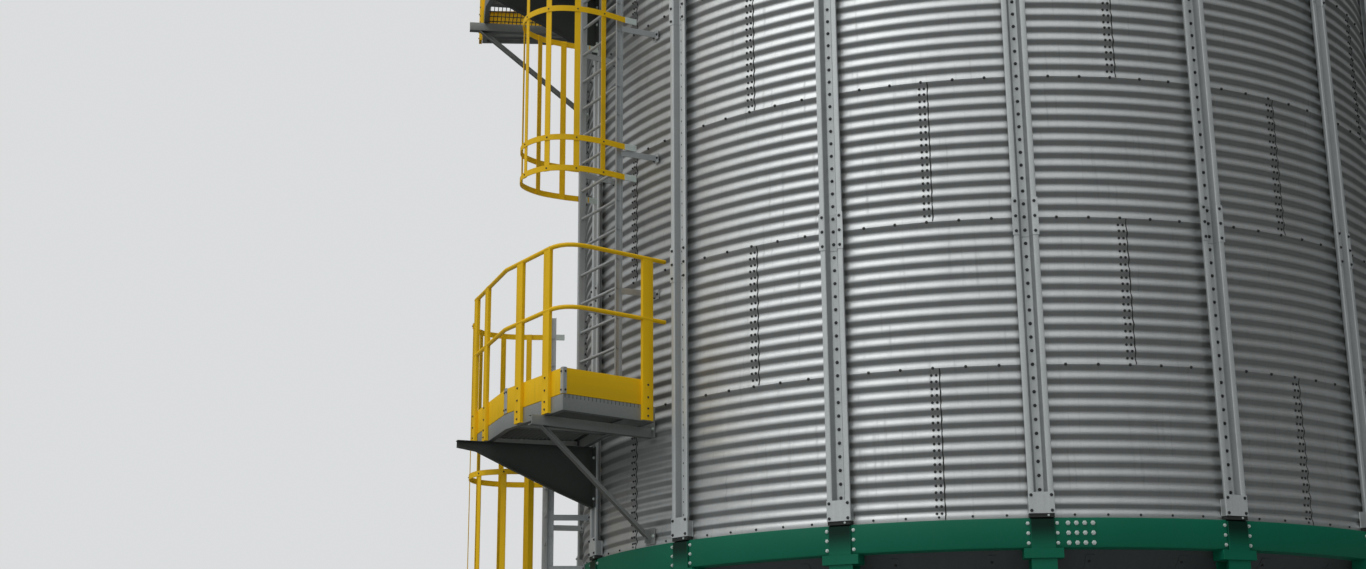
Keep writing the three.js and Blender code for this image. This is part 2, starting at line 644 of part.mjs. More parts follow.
const pair = legPair();
for (let i = 0; i < STIFFENERS / 2; i += 1) {
  add(`leg_pair_${i + 1}`, pair, greenPaint).rotation.z = radians(2 * BAY * i);
}

const quarter = stiffenerQuarter();
for (let i = 0; i < 4; i += 1) {
  add(`stiffener_quarter_${i + 1}`, quarter, galvanised).rotation.z = radians(90 * i);
}

add('roof_cone', ribbedRoof(), galvanised);
add('roof_collar', roofCollar, galvanised);
add('roof_cap', roofCap, galvanised);
add('roof_hatch', roofHatch(), galvanised);

for (const i of [1, 2, 3]) {
  add(`landing_${i}`, landingFrame(LANDINGS[i]), darkZinc);
  add(`guard_${i}`, guard(LANDINGS[i]), yellowPaint);
  add(`ladder_${i}`, ladder(LADDERS[i]), galvanised);
  add(`cage_${i}`, cage(LADDERS[i]), yellowPaint);
}

silo.updateMatrixWorld(true);
const overall = new THREE.Box3().setFromObject(silo, true);
silo.position.set(-(overall.min.x + overall.max.x) / 2, -(overall.min.y + overall.max.y) / 2, 0);

export default silo;
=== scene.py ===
# %% [markdown]
# A feed silo is a stack of corrugated steel rings on a ring of legs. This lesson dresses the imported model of
# one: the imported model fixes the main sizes, and the script adds the shapes and finishes that a camera sees.
# Everything is in metres, with the ground at zero.

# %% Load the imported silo
import math

import bpy
import numpy as np
from mathutils import Matrix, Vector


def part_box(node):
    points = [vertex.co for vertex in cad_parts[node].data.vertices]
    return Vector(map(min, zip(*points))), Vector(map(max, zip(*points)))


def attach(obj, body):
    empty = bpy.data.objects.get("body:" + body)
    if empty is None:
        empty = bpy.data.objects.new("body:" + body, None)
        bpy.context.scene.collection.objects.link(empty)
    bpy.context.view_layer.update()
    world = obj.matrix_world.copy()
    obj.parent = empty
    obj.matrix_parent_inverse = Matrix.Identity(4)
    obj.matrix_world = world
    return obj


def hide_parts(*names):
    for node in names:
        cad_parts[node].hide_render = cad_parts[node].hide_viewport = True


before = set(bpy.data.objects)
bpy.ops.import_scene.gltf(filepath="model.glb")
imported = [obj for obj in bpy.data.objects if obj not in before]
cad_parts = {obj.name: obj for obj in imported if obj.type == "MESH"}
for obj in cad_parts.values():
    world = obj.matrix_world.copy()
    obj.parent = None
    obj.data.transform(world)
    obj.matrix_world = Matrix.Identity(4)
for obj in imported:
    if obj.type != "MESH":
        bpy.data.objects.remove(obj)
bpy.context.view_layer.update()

# %% [markdown]
# All the pieces stand round one upright axis, so each place is given by a direction in degrees, a distance out
# from the axis, a distance across and a height. A maker could also model one bay and turn it with empties, but
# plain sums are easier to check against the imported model. Parts that only touch are left a hair's clearance.

# %% Places round the tank
collar_low, collar_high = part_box("outlet_collar")
AXIS = np.array([*((collar_low + collar_high) / 2).xy, 0.0])
UP = np.array([0.0, 0.0, 1.0])
WALL_BASE = 4.0
WALL_LIP = 0.027
TIER = 1.1176
TIERS = 9
PITCH = TIER / 11
WALL_TOP = WALL_BASE + TIERS * TIER
CREST_R = 3.6645
CORRUGATION = 0.0127
WALL_INNER_R = 3.6505
WALL_FACE = 3.6648
BAY = 22.5
BAY_MIDDLE = -90.0
BAY_NEXT = BAY_MIDDLE - BAY
FIRST_STIFFENER = BAY_MIDDLE - BAY / 2
STIFFENERS = [FIRST_STIFFENER + BAY * i for i in range(16)]
CLEARANCE = 0.0003
DEGREES = 180 / math.pi


def radial(angle):
    return np.array([math.cos(math.radians(angle)), math.sin(math.radians(angle)), 0.0])


def tangent(angle):
    return np.array([-math.sin(math.radians(angle)), math.cos(math.radians(angle)), 0.0])


def stand(points, angle):
    """Points given as across, out and up, put in that direction round the tank."""
    points = np.asarray(points, float)
    return AXIS + points[..., :1] * tangent(angle) + points[..., 1:2] * radial(angle) + points[..., 2:] * UP


def arc_degrees(length, radius=CREST_R):
    return math.degrees(length / radius)


print("axis at", AXIS.round(4), "wall top", round(WALL_TOP, 4))

# %% [markdown]
# A mesh is a list of points and a list of faces. Most steel parts are a section carried along a path, so one
# helper joins rings of points into a closed skin, and others shape the section. Blender's own curve bevel could
# do this too, but rings give square mitres and exact sheet thickness.


# %% Closed forms from rings of points
def outward(points, faces):
    """A form whose faces look out: one that came out inside out is turned."""
    volume = 0.0
    for group in faces:
        first = points[group[:, 0]]
        for i in range(1, group.shape[1] - 1):
            volume += np.sum(first * np.cross(points[group[:, i]], points[group[:, i + 1]]))
    return points, [group[:, ::-1] for group in faces] if volume < 0 else faces


def loft(rings, joined=False):
    """A closed form through rings of points: its ends are capped, or its last ring joins the first."""
    rings = np.asarray(rings, float)
    rows, around = rings.shape[:2]
    index = np.arange(rows * around).reshape(rows, around)
    before = index if joined else index[:-1]
    after = np.roll(index, -1, axis=0) if joined else index[1:]
    quads = np.stack([before, np.roll(before, -1, 1), np.roll(after, -1, 1), after], -1).reshape(-1, 4)
    faces = [quads] if joined else [quads, index[:1, ::-1], index[-1:]]
    return outward(rings.reshape(-1, 3), faces)


def repeated(form, axes, places):
    """Copies of one form, each turned by its three axes and moved to its place."""
    points, faces = form
    moved = np.einsum("nij,pj->npi", axes, points) + places[:, None]
    steps = (np.arange(len(places)) * len(points))[:, None, None]
    return moved.reshape(-1, 3), [(group[None] + steps).reshape(-1, group.shape[1]) for group in faces]


added_triangles = 0


def piece(name, forms, finish, smooth=35):
    """One object from closed forms, which rides on the silo."""
    global added_triangles
    points = np.concatenate([form[0] for form in forms])
    corners, sizes, start = [], [], 0
    for form_points, groups in forms:
        for group in groups:
            corners.append(group.ravel() + start)
            sizes.append(np.full(len(group), group.shape[1]))
        start += len(form_points)
    corners, sizes = np.concatenate(corners), np.concatenate(sizes)
    mesh = bpy.data.meshes.new(name)
    mesh.vertices.add(len(points))
    mesh.vertices.foreach_set("co", points.ravel())
    mesh.loops.add(len(corners))
    mesh.loops.foreach_set("vertex_index", corners)
    mesh.polygons.add(len(sizes))
    mesh.polygons.foreach_set("loop_start", np.cumsum(sizes) - sizes)
    mesh.update(calc_edges=True)
    mesh.polygons.foreach_set("use_smooth", np.ones(len(sizes), bool))
    mesh.set_sharp_from_angle(angle=math.radians(smooth))
    mesh.materials.append(finish)
    thing = bpy.data.objects.new(name, mesh)
    bpy.context.scene.collection.objects.link(thing)
    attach(thing, "root")
    triangles = int(np.sum(sizes - 2))
    added_triangles += triangles
    print(name, triangles, "triangles")
    return thing


print("helpers ready: outward, loft, repeated, piece")


# %% Flat lines and sections
def side_line(line, distance, closed=False):
    """A flat line moved to its right by a distance, with mitred corners."""
    line = np.asarray(line, float)
    step = np.roll(line, -1, 0) - line
    if not closed:
        step[-1] = step[-2]
    step /= np.linalg.norm(step, axis=1, keepdims=True)
    side = np.stack([step[:, 1], -step[:, 0]], 1)
    before = np.roll(side, 1, 0)
    if not closed:
        before[0] = side[0]
    mitre = before + side
    mitre /= np.linalg.norm(mitre, axis=1, keepdims=True)
    return line + mitre * (distance / np.sum(mitre * side, axis=1, keepdims=True))


def eased(line, radius, steps=2, closed=False):
    """The same line with its corners rounded."""
    line = np.asarray(line, float)
    count = len(line)
    made = []
    for i, corner in enumerate(line):
        if not closed and i in (0, count - 1):
            made.append(corner)
            continue
        back, on = line[i - 1] - corner, line[(i + 1) % count] - corner
        far_back, far_on = np.linalg.norm(back), np.linalg.norm(on)
        cosine = np.clip(np.dot(back, on) / far_back / far_on, -1, 1)
        reach = min(radius / math.tan(math.acos(cosine) / 2 + 1e-6), 0.45 * far_back, 0.45 * far_on)
        low, high = corner + back / far_back * reach, corner + on / far_on * reach
        for t in np.linspace(0, 1, steps + 1):
            made.append((1 - t) ** 2 * low + 2 * t * (1 - t) * corner + t * t * high)
    return np.array(made)


def folded(line, sheet, bend=0.004):
    """The outline of a sheet folded along a line."""
    soft = eased(line, bend)
    return np.concatenate([side_line(soft, sheet / 2), side_line(soft, -sheet / 2)[::-1]])


def oblong(width, depth, chamfer=0.001):
    """A rectangle with its corners cut a little."""
    w, d, c = width / 2, depth / 2, chamfer
    right = [(w - c, -d), (w, c - d), (w, d - c), (w - c, d)]
    return np.array(right + [(-a, b) for a, b in right[::-1]])


def disc(radius, sides=10):
    """A round bar's outline."""
    turn = np.linspace(0, 2 * math.pi, sides, endpoint=False)
    return radius * np.stack([np.cos(turn), np.sin(turn)], 1)


print("a folded angle has", len(folded([(0, 0), (1, 0), (1, 1)], 0.1)), "corners")


# %% Sections carried along a path
def level_sweep(section, path, joined=False):
    """A section of side and height carried along a level path, with mitred corners."""
    path = np.asarray(path, float)
    rings = []
    for side, up in section:
        moved = side_line(path[:, :2], side, joined)
        rings.append(np.column_stack([moved, path[:, 2] + up]))
    return loft(np.stack(rings, 1), joined)


def unit(vector):
    return vector / np.linalg.norm(vector)


def straight(section, start, end, facing):
    """A straight length of a section, whose second direction leans to facing."""
    start, end, facing = (np.asarray(v, float) for v in (start, end, facing))
    along = unit(end - start)
    second = unit(facing - along * np.dot(facing, along))
    first = np.cross(along, second)
    ring = section[:, :1] * first + section[:, 1:] * second
    return loft([start + ring, end + ring])


def upright(section, angle, low, high):
    """A vertical length of a section of across and out."""
    ends = [np.column_stack([section, np.full(len(section), z)]) for z in (low, high)]
    return loft([stand(end, angle) for end in ends])


def turned_ring(outline, columns, start=0.0):
    """An outline of distance out and height, turned right round the axis."""
    outline = np.asarray(outline, float)
    angles = start + np.arange(columns) * 360 / columns
    rings = [AXIS + outline[:, :1] * radial(a) + outline[:, 1:] * UP for a in angles]
    return loft(rings, joined=True)


def block(across, out, up, angle, chamfer=0.0015):
    """A plate with its upright edges cut a little, from ranges of across, out and up."""
    section = oblong(across[1] - across[0], out[1] - out[0], chamfer)
    section = section + np.array([(across[0] + across[1]) / 2, (out[0] + out[1]) / 2])
    return upright(section, angle, *up)


print("a block has", len(block((0, 1), (0, 1), (0, 1), 0)[0]), "points")

# %% [markdown]
# Bolts are what gives the steel its scale. One head on its washer is six-sided and has four rings, and numpy
# sets thousands of copies of it in one mesh, which stays lighter than as many objects.

# %% Bolts
BOLT = [(0.0125, -0.002), (0.0120, 0.0020), (0.0078, 0.0032), (0.0076, 0.0092)]
BOLT_SIDES = 6
BOLT_CREASE = 30


def bolts(places, facing, size=1.0):
    """Bolt heads on washers, one at each place, facing out."""
    places = np.asarray(places, float).reshape(-1, 3)
    facing = np.broadcast_to(np.asarray(facing, float), places.shape)
    facing = facing / np.linalg.norm(facing, axis=1, keepdims=True)
    lean = np.where(np.abs(facing[:, 2:]) > 0.9, [[1.0, 0.0, 0.0]], UP[None])
    first = np.cross(lean, facing)
    first /= np.linalg.norm(first, axis=1, keepdims=True)
    axes = np.stack([first, np.cross(facing, first), facing], 2)
    rings = [np.column_stack([disc(r * size, BOLT_SIDES), np.full(BOLT_SIDES, h * size)]) for r, h in BOLT]
    return repeated(loft(rings), axes, places)


def wall_bolts(spots, size=1.0):
    """Bolts that face out from the axis, from a list of angle, distance out, across and height."""
    places = np.array([stand([across, out, up], angle) for angle, out, across, up in spots])
    facing = np.array([radial(spot[0]) for spot in spots])
    return bolts(places, facing, size)


print("one bolt has", len(bolts([[0, 0, 0]], [0, -1, 0])[0]), "points")

# %% [markdown]
# A finish is a sum of masks: clouds, streaks, painted shade under ledges. Written as nodes it becomes a web of
# boxes, so a small class wraps a socket and lets Python's own signs add the nodes. Numbers go through Math, colours
# through Mix and vectors through Vector Math, because a Math node would turn a colour grey.


# %% Shader sums in Python
class Flow:
    """An output socket that can stand in a Python expression."""

    def __init__(self, tree, socket):
        self.tree = tree
        self.socket = socket

    def node(self, kind, settings=None, values=None, output=0):
        """Any node: its settings first, then the values or links of its inputs."""
        made = self.tree.nodes.new(kind)
        for key, value in (settings or {}).items():
            if key == "stops":
                ramp = made.color_ramp.elements
                for i, (place, colour) in enumerate(value):
                    stop = ramp[i] if i < len(ramp) else ramp.new(place)
                    stop.position, stop.color = place, colour
            else:
                setattr(made, key, value)
        for key, value in (values or {}).items():
            if isinstance(value, Flow):
                self.tree.links.new(value.socket, made.inputs[key])
            else:
                made.inputs[key].default_value = value
        return Flow(self.tree, made.outputs[output])

    def _pair(self, operation, other, swapped=False):
        first, second = (other, self) if swapped else (self, other)
        kinds = [flow.socket.type for flow in (first, second) if isinstance(flow, Flow)]
        if "RGBA" in kinds:
            first, second = ((v, v, v, 1.0) if isinstance(v, (int, float)) else v for v in (first, second))
            settings = {"data_type": "RGBA", "blend_type": operation}
            return self.node("ShaderNodeMix", settings, {0: 1.0, 6: first, 7: second}, 2)
        if "VECTOR" in kinds:
            first, second = ((v, v, v) if isinstance(v, (int, float)) else v for v in (first, second))
            return self.node("ShaderNodeVectorMath", {"operation": operation}, {0: first, 1: second})
        return self.node("ShaderNodeMath", {"operation": operation}, {0: first, 1: second})

    def __add__(self, other):
        return self._pair("ADD", other)

    def __radd__(self, other):
        return self._pair("ADD", other, True)

    def __sub__(self, other):
        return self._pair("SUBTRACT", other)

    def __rsub__(self, other):
        return self._pair("SUBTRACT", other, True)

    def __mul__(self, other):
        return self._pair("MULTIPLY", other)

    def __rmul__(self, other):
        return self._pair("MULTIPLY", other, True)

    def __truediv__(self, other):
        return self._pair("DIVIDE", other)

    def __rtruediv__(self, other):
        return self._pair("DIVIDE", other, True)

    def maths(self, operation, other=0.0):
        """A Math node that has no sign in Python."""
        return self.node("ShaderNodeMath", {"operation": operation}, {0: self, 1: other})

    def part(self, axis):
        """One coordinate of a vector."""
        return self.node("ShaderNodeSeparateXYZ", None, {0: self}, axis)

    def ramp(self, low, high):
        """0 below low, 1 above high, and a soft rise between them."""
        values = {"Value": self, "From Min": low, "From Max": high}
        return self.node("ShaderNodeMapRange", {"interpolation_type": "SMOOTHSTEP"}, values)

    def choose(self, low, high):
        """A colour between two, by this mask."""
        return self.node("ShaderNodeMix", {"data_type": "RGBA"}, {0: self, 6: low, 7: high}, 2)

    def noise(self, scale, detail=3.0, roughness=0.55):
        """Clouds between 0 and 1 at a place."""
        values = {"Vector": self, "Scale": scale, "Detail": detail, "Roughness": roughness}
        return self.node("ShaderNodeTexNoise", None, values)


print("signs that work on a socket: + - * /")


# %% First and last nodes of a material
def begin(name):
    """A new material and the place of each of its points on the silo."""
    material = bpy.data.materials.new(name)
    material.use_nodes = True
    tree = material.node_tree
    coordinates = tree.nodes.new("ShaderNodeTexCoord")
    return material, Flow(tree, coordinates.outputs["Object"])


def settle(material, colour, roughness, metallic, height=None, relief=0.001, gloss=0.5):
    """Feeds the finished masks to the material's shader."""
    tree = material.node_tree
    shader = tree.nodes["Principled BSDF"]
    shader.inputs["Specular IOR Level"].default_value = gloss
    for name, value in (("Base Color", colour), ("Roughness", roughness), ("Metallic", metallic)):
        if isinstance(value, Flow):
            tree.links.new(value.socket, shader.inputs[name])
        else:
            shader.inputs[name].default_value = value
    if height is not None:
        bump = height.node("ShaderNodeBump", None, {"Height": height, "Distance": relief, "Strength": 1.0})
        tree.links.new(bump.socket, shader.inputs["Normal"])
    print(material.name, len(tree.nodes), "nodes")
    return material


print("materials so far", len(bpy.data.materials))

# %% [markdown]
# Each mask is a number from about 0 to 1 over the surface. Those for rain and joints are laid out by the turn
# round the tank and the height, so they follow the wall; a flat picture would be stretched at the sides.


# %% Masks
def facing_up(place):
    """The upward part of the surface's own direction: 1 on top, 0 on a wall, -1 underneath."""
    return place.node("ShaderNodeNewGeometry", None, None, "Normal").part("Z")


def round_tank(place):
    """The turn round the axis, in radians, and the height, so that streaks run straight down."""
    x, y, z = place.part("X"), place.part("Y"), place.part("Z")
    return (y - float(AXIS[1])).maths("ARCTAN2", x), z


def distance_out(place):
    """How far out of the silo's axis the place is."""
    x, y = place.part("X"), place.part("Y") - float(AXIS[1])
    return (x * x + y * y).maths("SQRT")


def streaks(place, angle, z, fineness, length):
    """Marks stretched down the wall."""
    values = {"X": angle * (CREST_R * fineness), "Y": z / length, "Z": 0.0}
    return place.node("ShaderNodeCombineXYZ", None, values).noise(1.0, 4.0)


def crystals(place, scale):
    """The pale and dark grains of the zinc."""
    return place.node("ShaderNodeTexVoronoi", None, {"Vector": place, "Scale": scale}, "Color").part("X")


def tinted(shade, tint):
    """A colour: one tint made lighter or darker by a mask."""
    values = {axis: shade * part for axis, part in zip("XYZ", tint)}
    return shade.node("ShaderNodeCombineXYZ", None, values)


print("masks ready: facing_up, round_tank, distance_out, streaks, crystals, tinted")

# %% [markdown]
# Galvanised sheet is grey zinc with a faint crystal pattern called spangle. No two sheets come from the bath
# with the same tone and rain draws streaks down them; the lower half of each wave gets painted shade. An image of
# real sheet would be quicker, but a sum of masks has no seams and needs no file.

# %% Zinc on the wall sheets
WALL_TINT = (0.560, 0.575, 0.570)
sheet_zinc, place = begin("wall_zinc")
angle, z = round_tank(place)
tier = ((z - WALL_BASE) / TIER).maths("FLOOR")
stagger = tier.maths("MODULO", 2.0) * 0.5
sheet = ((angle * DEGREES - BAY_MIDDLE) / (2 * BAY) - stagger).maths("FLOOR")
number = place.node("ShaderNodeCombineXYZ", None, {"X": sheet, "Y": tier, "Z": 3.0})
tone = number.node("ShaderNodeTexWhiteNoise", None, {"Vector": number}, "Value")
spangle = crystals(place, 70.0)
run = streaks(place, angle, z, 9.0, 1.3)
drip = streaks(place, angle, z, 26.0, 0.7).ramp(0.56, 0.74)
cloud = place.noise(0.9)
# Painted shade: the lower half of each wave is darkened, in place of the dark ground it would reflect.
underside_shade = (0.0 - facing_up(place)).ramp(-0.06, 0.27)
grey = 0.80 + tone * 0.16 + run * 0.22 + cloud * 0.14 + spangle * 0.05
grey = grey * (1.0 - drip * 0.10) * (1.0 - underside_shade * 0.55)
colour = tinted(grey, WALL_TINT)
sheet_zinc = settle(sheet_zinc, colour, 0.34 + cloud * 0.14 + drip * 0.16, 0.72, spangle * 0.2 + cloud, 0.0012)


# %% Other metal finishes
def zinc(name, tint, roughness, metallic=0.7, underside_shade_strength=0.25, slope_shade=None):
    """Galvanised steel of one tint, with clouds and fine streaks; faces that look down get painted shade, and so do
    a stiffener's slopes when a span of distance out is given.
    """
    material, place = begin(name)
    angle, z = round_tank(place)
    run = streaks(place, angle, z, 40.0, 0.5)
    cloud = place.noise(3.0)
    spangle = crystals(place, 90.0)
    # Painted shade: faces that look down are darkened.
    underside_shade = (0.0 - facing_up(place)).ramp(0.1, 0.9)
    grey = (0.78 + run * 0.22 + cloud * 0.16 + spangle * 0.06) * (1.0 - underside_shade * underside_shade_strength)
    # Painted shade on a stiffener's slopes, between the strip and the outer flanges.
    if slope_shade is not None:
        low, high = slope_shade
        out = distance_out(place)
        grey = grey * (1.0 - out.ramp(low, low + 0.010) * (1.0 - out.ramp(high - 0.006, high)) * 0.45)
    return settle(material, tinted(grey, tint), roughness + cloud * 0.12, metallic, cloud + spangle * 0.15, 0.0008)


def paint(name, tint, grime, roughness, amount, foot_shadow=None):
    """Brushed paint with a faint ripple, dusty ledges, grime in streaks and a painted shadow below each stiffener's
    foot.
    """
    material, place = begin(name)
    angle, z = round_tank(place)
    run = streaks(place, angle, z, 30.0, 0.35).ramp(0.48, 0.78)
    cloud = place.noise(2.2)
    ripple = place.noise(140.0, 2.0)
    top = facing_up(place).ramp(0.5, 1.0)
    soil = run * amount + top * 0.35 + cloud * 0.10
    shade = 0.90 + cloud * 0.20
    # Painted shadow under each stiffener's foot: the paint darkens towards the beam's top.
    if foot_shadow is not None:
        low, high, half = foot_shadow
        turn = (angle * DEGREES - FIRST_STIFFENER) / BAY
        across = (turn - (turn + 0.5).maths("FLOOR")).maths("ABSOLUTE") * (BAY / DEGREES * CREST_R)
        painted_shadow = (1.0 - across.ramp(half - 0.012, half + 0.006)) * z.ramp(low, high)
        shade = shade * (1.0 - painted_shadow * 0.85)
        soil = soil * (1.0 - painted_shadow)
    colour = soil.choose(tinted(shade, tint), (*grime, 1.0))
    return settle(material, colour, roughness + soil * 0.3 + ripple * 0.06, 0.0, ripple * 0.4 + cloud, 0.0006, 0.22)


# The span of distance out where the stiffener's slopes get painted shade.
SLOPE_SHADE_SPAN = (WALL_FACE + 0.006, WALL_FACE + 0.060)
# A lighter copy of the wall's zinc: painted light, making up for the dim low sky that its upright faces see.
stiffener_zinc = zinc("stiffener_zinc", (0.66, 0.69, 0.69), 0.42, 0.4, slope_shade=SLOPE_SHADE_SPAN)
roof_zinc = zinc("roof_zinc", (0.60, 0.62, 0.62), 0.40)
# Near-black zinc for the cone and outlet: painted shade for the shade under the tank.
hopper_zinc = zinc("hopper_zinc", (0.09, 0.10, 0.10), 0.50, 0.4, 0.1)
# Darker than the ladders' zinc: painted shade for the shade under the landings.
frame_zinc = zinc("frame_zinc", (0.30, 0.315, 0.30), 0.5, 0.30, 0.65)
# Near-black zinc for the gussets and grating: painted shade for the shade under the landings.
gusset_shade_zinc = zinc("gusset_shade_zinc", (0.060, 0.068, 0.060), 0.6, 0.3, 0.5)
ladder_zinc = zinc("ladder_zinc", (0.52, 0.545, 0.55), 0.42, 0.6)
# Near-black bolts: partly the black of their rubber washers, partly painted shade.
bolt_black_and_shade = zinc("bolt_black_and_shade", (0.05, 0.052, 0.052), 0.5, 0.4)
bright_zinc = zinc("bright_zinc", (0.70, 0.78, 0.74), 0.40, 0.3)
beam_low, beam_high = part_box("ring_beam")
# Where the painted shadow under each foot lies: lowest and highest level, and half its width.
FOOT_SHADOW = (beam_low.z - 0.03, beam_high.z - 0.04, 0.086)
green_paint = paint("green_paint", (0.002, 0.155, 0.084), (0.02, 0.11, 0.075), 0.45, 0.18, FOOT_SHADOW)
yellow_paint = paint("yellow_paint", (1.00, 0.60, 0.006), (0.42, 0.27, 0.03), 0.45, 0.18)

# Near-black: the dark line along each lap, and the painted shadow under each stiffener's foot.
dark_line_and_shadow, place = begin("dark_line_and_shadow")
dark_line_and_shadow = settle(dark_line_and_shadow, (0.025, 0.027, 0.026, 1.0), 0.55 + place.noise(60.0) * 0.3, 0.0)

# %% [markdown]
# The wall is the largest thing in view. Each tier is eight sheets with eleven waves, two bays long, and the
# joints are staggered from tier to tier. A displaced cylinder would give the waves, but not the step where one
# sheet laps over the next, so the tier is lofted column by column with two columns at each lap's edge.

# %% Corrugated tiers
COLUMNS = 128
WAVES, WAVE_STEPS = 11, 8
SEAM_GAP = 0.00015
SHEET_STEP = 0.0016
LAP_EDGE = arc_degrees(0.045)
LAP_BACK = arc_degrees(0.060)
LAP_RAMP = arc_degrees(0.015)
LAP_BOLTS = (-0.014, 0.022)


def wave(height, tier):
    """Distance out of the wall's outer face: a crest lies on each seam, and the lowest one has a flat lip."""
    lip = WALL_LIP if tier == 0 else 0.0
    turn = np.where(height < PITCH, np.maximum(height - lip, 0.0) / (PITCH - lip), height / PITCH)
    return CREST_R - 0.0002 - CORRUGATION / 2 * (1 - np.cos(2 * np.pi * turn))


def lap_angles(tier):
    """The directions of a tier's eight laps."""
    first = BAY_MIDDLE + (BAY if tier % 2 else 0.0)
    return [first + 2 * BAY * i for i in range(8)]


def tier_columns(tier):
    """The directions of a tier's columns, each with how far its sheet stands proud there."""
    laps = lap_angles(tier)
    columns = []
    for i in range(COLUMNS):
        angle = BAY_MIDDLE + (i + 0.5) * 360 / COLUMNS
        if all(abs((angle - lap + 180) % 360 - 180) > LAP_BACK + LAP_RAMP for lap in laps):
            columns.append((angle, 0.0))
    for lap in laps:
        columns += [(lap - LAP_BACK, 0.0), (lap - LAP_BACK + LAP_RAMP, SHEET_STEP), (lap, SHEET_STEP)]
        columns += [(lap + LAP_EDGE, SHEET_STEP), (lap + LAP_EDGE + 0.001, 0.0)]
    return sorted(((angle - BAY_MIDDLE) % 360, proud) for angle, proud in columns)


def wall_tier(tier):
    """One tier: its outside follows the waves, and its inside is plain."""
    heights = np.linspace(0, TIER, WAVES * WAVE_STEPS + 1)
    levels = np.clip(heights, SEAM_GAP, TIER - SEAM_GAP) + WALL_BASE + tier * TIER
    outer = wave(heights, tier)
    rings = []
    for turn, proud in tier_columns(tier):
        shell = np.concatenate([outer + proud, [WALL_INNER_R, WALL_INNER_R]])
        level = np.concatenate([levels, levels[[-1, 0]]])
        rings.append(AXIS + shell[:, None] * radial(turn + BAY_MIDDLE) + level[:, None] * UP)
    return loft(rings, joined=True)


for tier in range(TIERS):
    sheets = piece(f"wall_sheets_{tier + 1}", [wall_tier(tier)], sheet_zinc, 50)
    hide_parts(f"wall_ring_{tier + 1}")

# %% [markdown]
# Every lap has a thin dark strip with a wavering edge along the sheet's edge, and two columns of
# bolts. The seams between tiers have a bolt each sixth of a bay; the lowest row sits in the flat lip, and the top
# row just under the eave. Particles or geometry nodes could scatter the bolts, but their places follow the waves
# exactly, so they are worked out.


# %% Dark lap lines and wall bolts
def lap_edge_line(tier, lap):
    """A strip along one lap, with a wavering edge."""
    heights = np.linspace(0.004, TIER - 0.004, WAVES * 6 + 1)
    wobble = 0.0020 * np.sin(heights * 37 + lap) + 0.0014 * np.sin(heights * 91 + 2 * lap)
    out = wave(heights, tier) + 0.0004
    rings = []
    for height, r, shift in zip(heights, out, wobble):
        low, high = 0.0435 + shift * 0.3, 0.0520 + shift
        ring = [(low, r - 0.001), (high, r - 0.001), (high, r + 0.001), (low, r + 0.0028)]
        rings.append(stand([(a, b, WALL_BASE + tier * TIER + height) for a, b in ring], lap))
    return loft(rings)


lap_lines, lap_bolts, seam_bolts, lip_bolts = [], [], [], []
for tier in range(TIERS):
    foot = WALL_BASE + tier * TIER
    for lap in lap_angles(tier):
        lap_lines.append(lap_edge_line(tier, lap))
        for k in range(1, 2 * WAVES):
            height = k * PITCH / 2
            out = wave(height, tier) + SHEET_STEP
            lap_bolts += [(lap + arc_degrees(across), out, 0.0, foot + height) for across in LAP_BOLTS]
SEAM_SHIFT = {0: WALL_LIP - 0.003, TIERS: -0.024}
for seam in range(TIERS + 1):
    level = WALL_BASE + seam * TIER + SEAM_SHIFT.get(seam, 0.0)
    row = [(angle + BAY * k / 6, CREST_R, 0.0, level) for angle in STIFFENERS for k in range(1, 6)]
    if seam == 0:
        lip_bolts += row
    else:
        seam_bolts += row
piece("lap_edge_lines", lap_lines, dark_line_and_shadow)
piece("lap_bolts", [wall_bolts(lap_bolts, 0.92)], bolt_black_and_shade, BOLT_CREASE)
piece("seam_bolts", [wall_bolts(seam_bolts), wall_bolts(lip_bolts, 0.8)], bolt_black_and_shade, BOLT_CREASE)

# %% [markdown]
# A stiffener is a folded section: a flat strip bolted down the crests, two slopes that rise from it, and two
# outer flanges with their edges turned back. Each upper length is nested over the lower one and bolted through.
# The fold's round corners catch the light, so the section is a folded line with real sheet thickness.

# %% Stiffeners
RISE = 0.062
SHEET = 0.005
STRIP = [(-0.0885, RISE - 0.020), (-0.0885, RISE - SHEET / 2), (-0.0525, RISE - SHEET / 2), (-0.0285, SHEET / 2)]
STRIP += [(-across, out) for across, out in STRIP[::-1]]
SPLICE_LENGTH = 0.29
SPLICE_BELOW = 1.5 * PITCH
SLEEVE_SPREAD = 1.09
STRIP_BEND = 0.006
SLEEVE = [(across * (SLEEVE_SPREAD if abs(across) > 0.08 else 1.0), out + SHEET) for across, out in STRIP[1:-1]]
section, sleeve = (folded(line, sheet, STRIP_BEND) + np.array([0.0, WALL_FACE])
                   for line, sheet in ((STRIP, SHEET), (SLEEVE, SHEET - 0.001)))
splice_levels = [WALL_BASE + 2 * k * TIER - SPLICE_BELOW for k in range(1, 5)]
stiffeners, sleeves, strip_bolts, flange_bolts = [], [], [], []
for angle in STIFFENERS:
    stiffeners.append(upright(section, angle, WALL_BASE + WALL_LIP, WALL_TOP - 0.010))
    for level in splice_levels:
        sleeves.append(upright(sleeve, angle, level, level + SPLICE_LENGTH))
        for across in (-0.070, 0.070):
            for height in (0.030, 0.145, 0.260):
                flange_bolts.append((angle, WALL_FACE + RISE + SHEET, across, level + height))
    for k in range(2, WAVES * TIERS - 1):
        height = WALL_BASE + k * PITCH
        nested = any(0 < height - level < SPLICE_LENGTH for level in splice_levels)
        strip_bolts.append((angle, WALL_FACE + SHEET * (2 if nested else 1), 0.0, height))
stiffener_piece = piece("stiffeners", stiffeners, stiffener_zinc)
piece("stiffener_sleeves", sleeves, stiffener_zinc)
heads = [wall_bolts(strip_bolts, 1.15), wall_bolts(flange_bolts, 1.05)]
piece("stiffener_bolts", heads, bolt_black_and_shade, BOLT_CREASE)

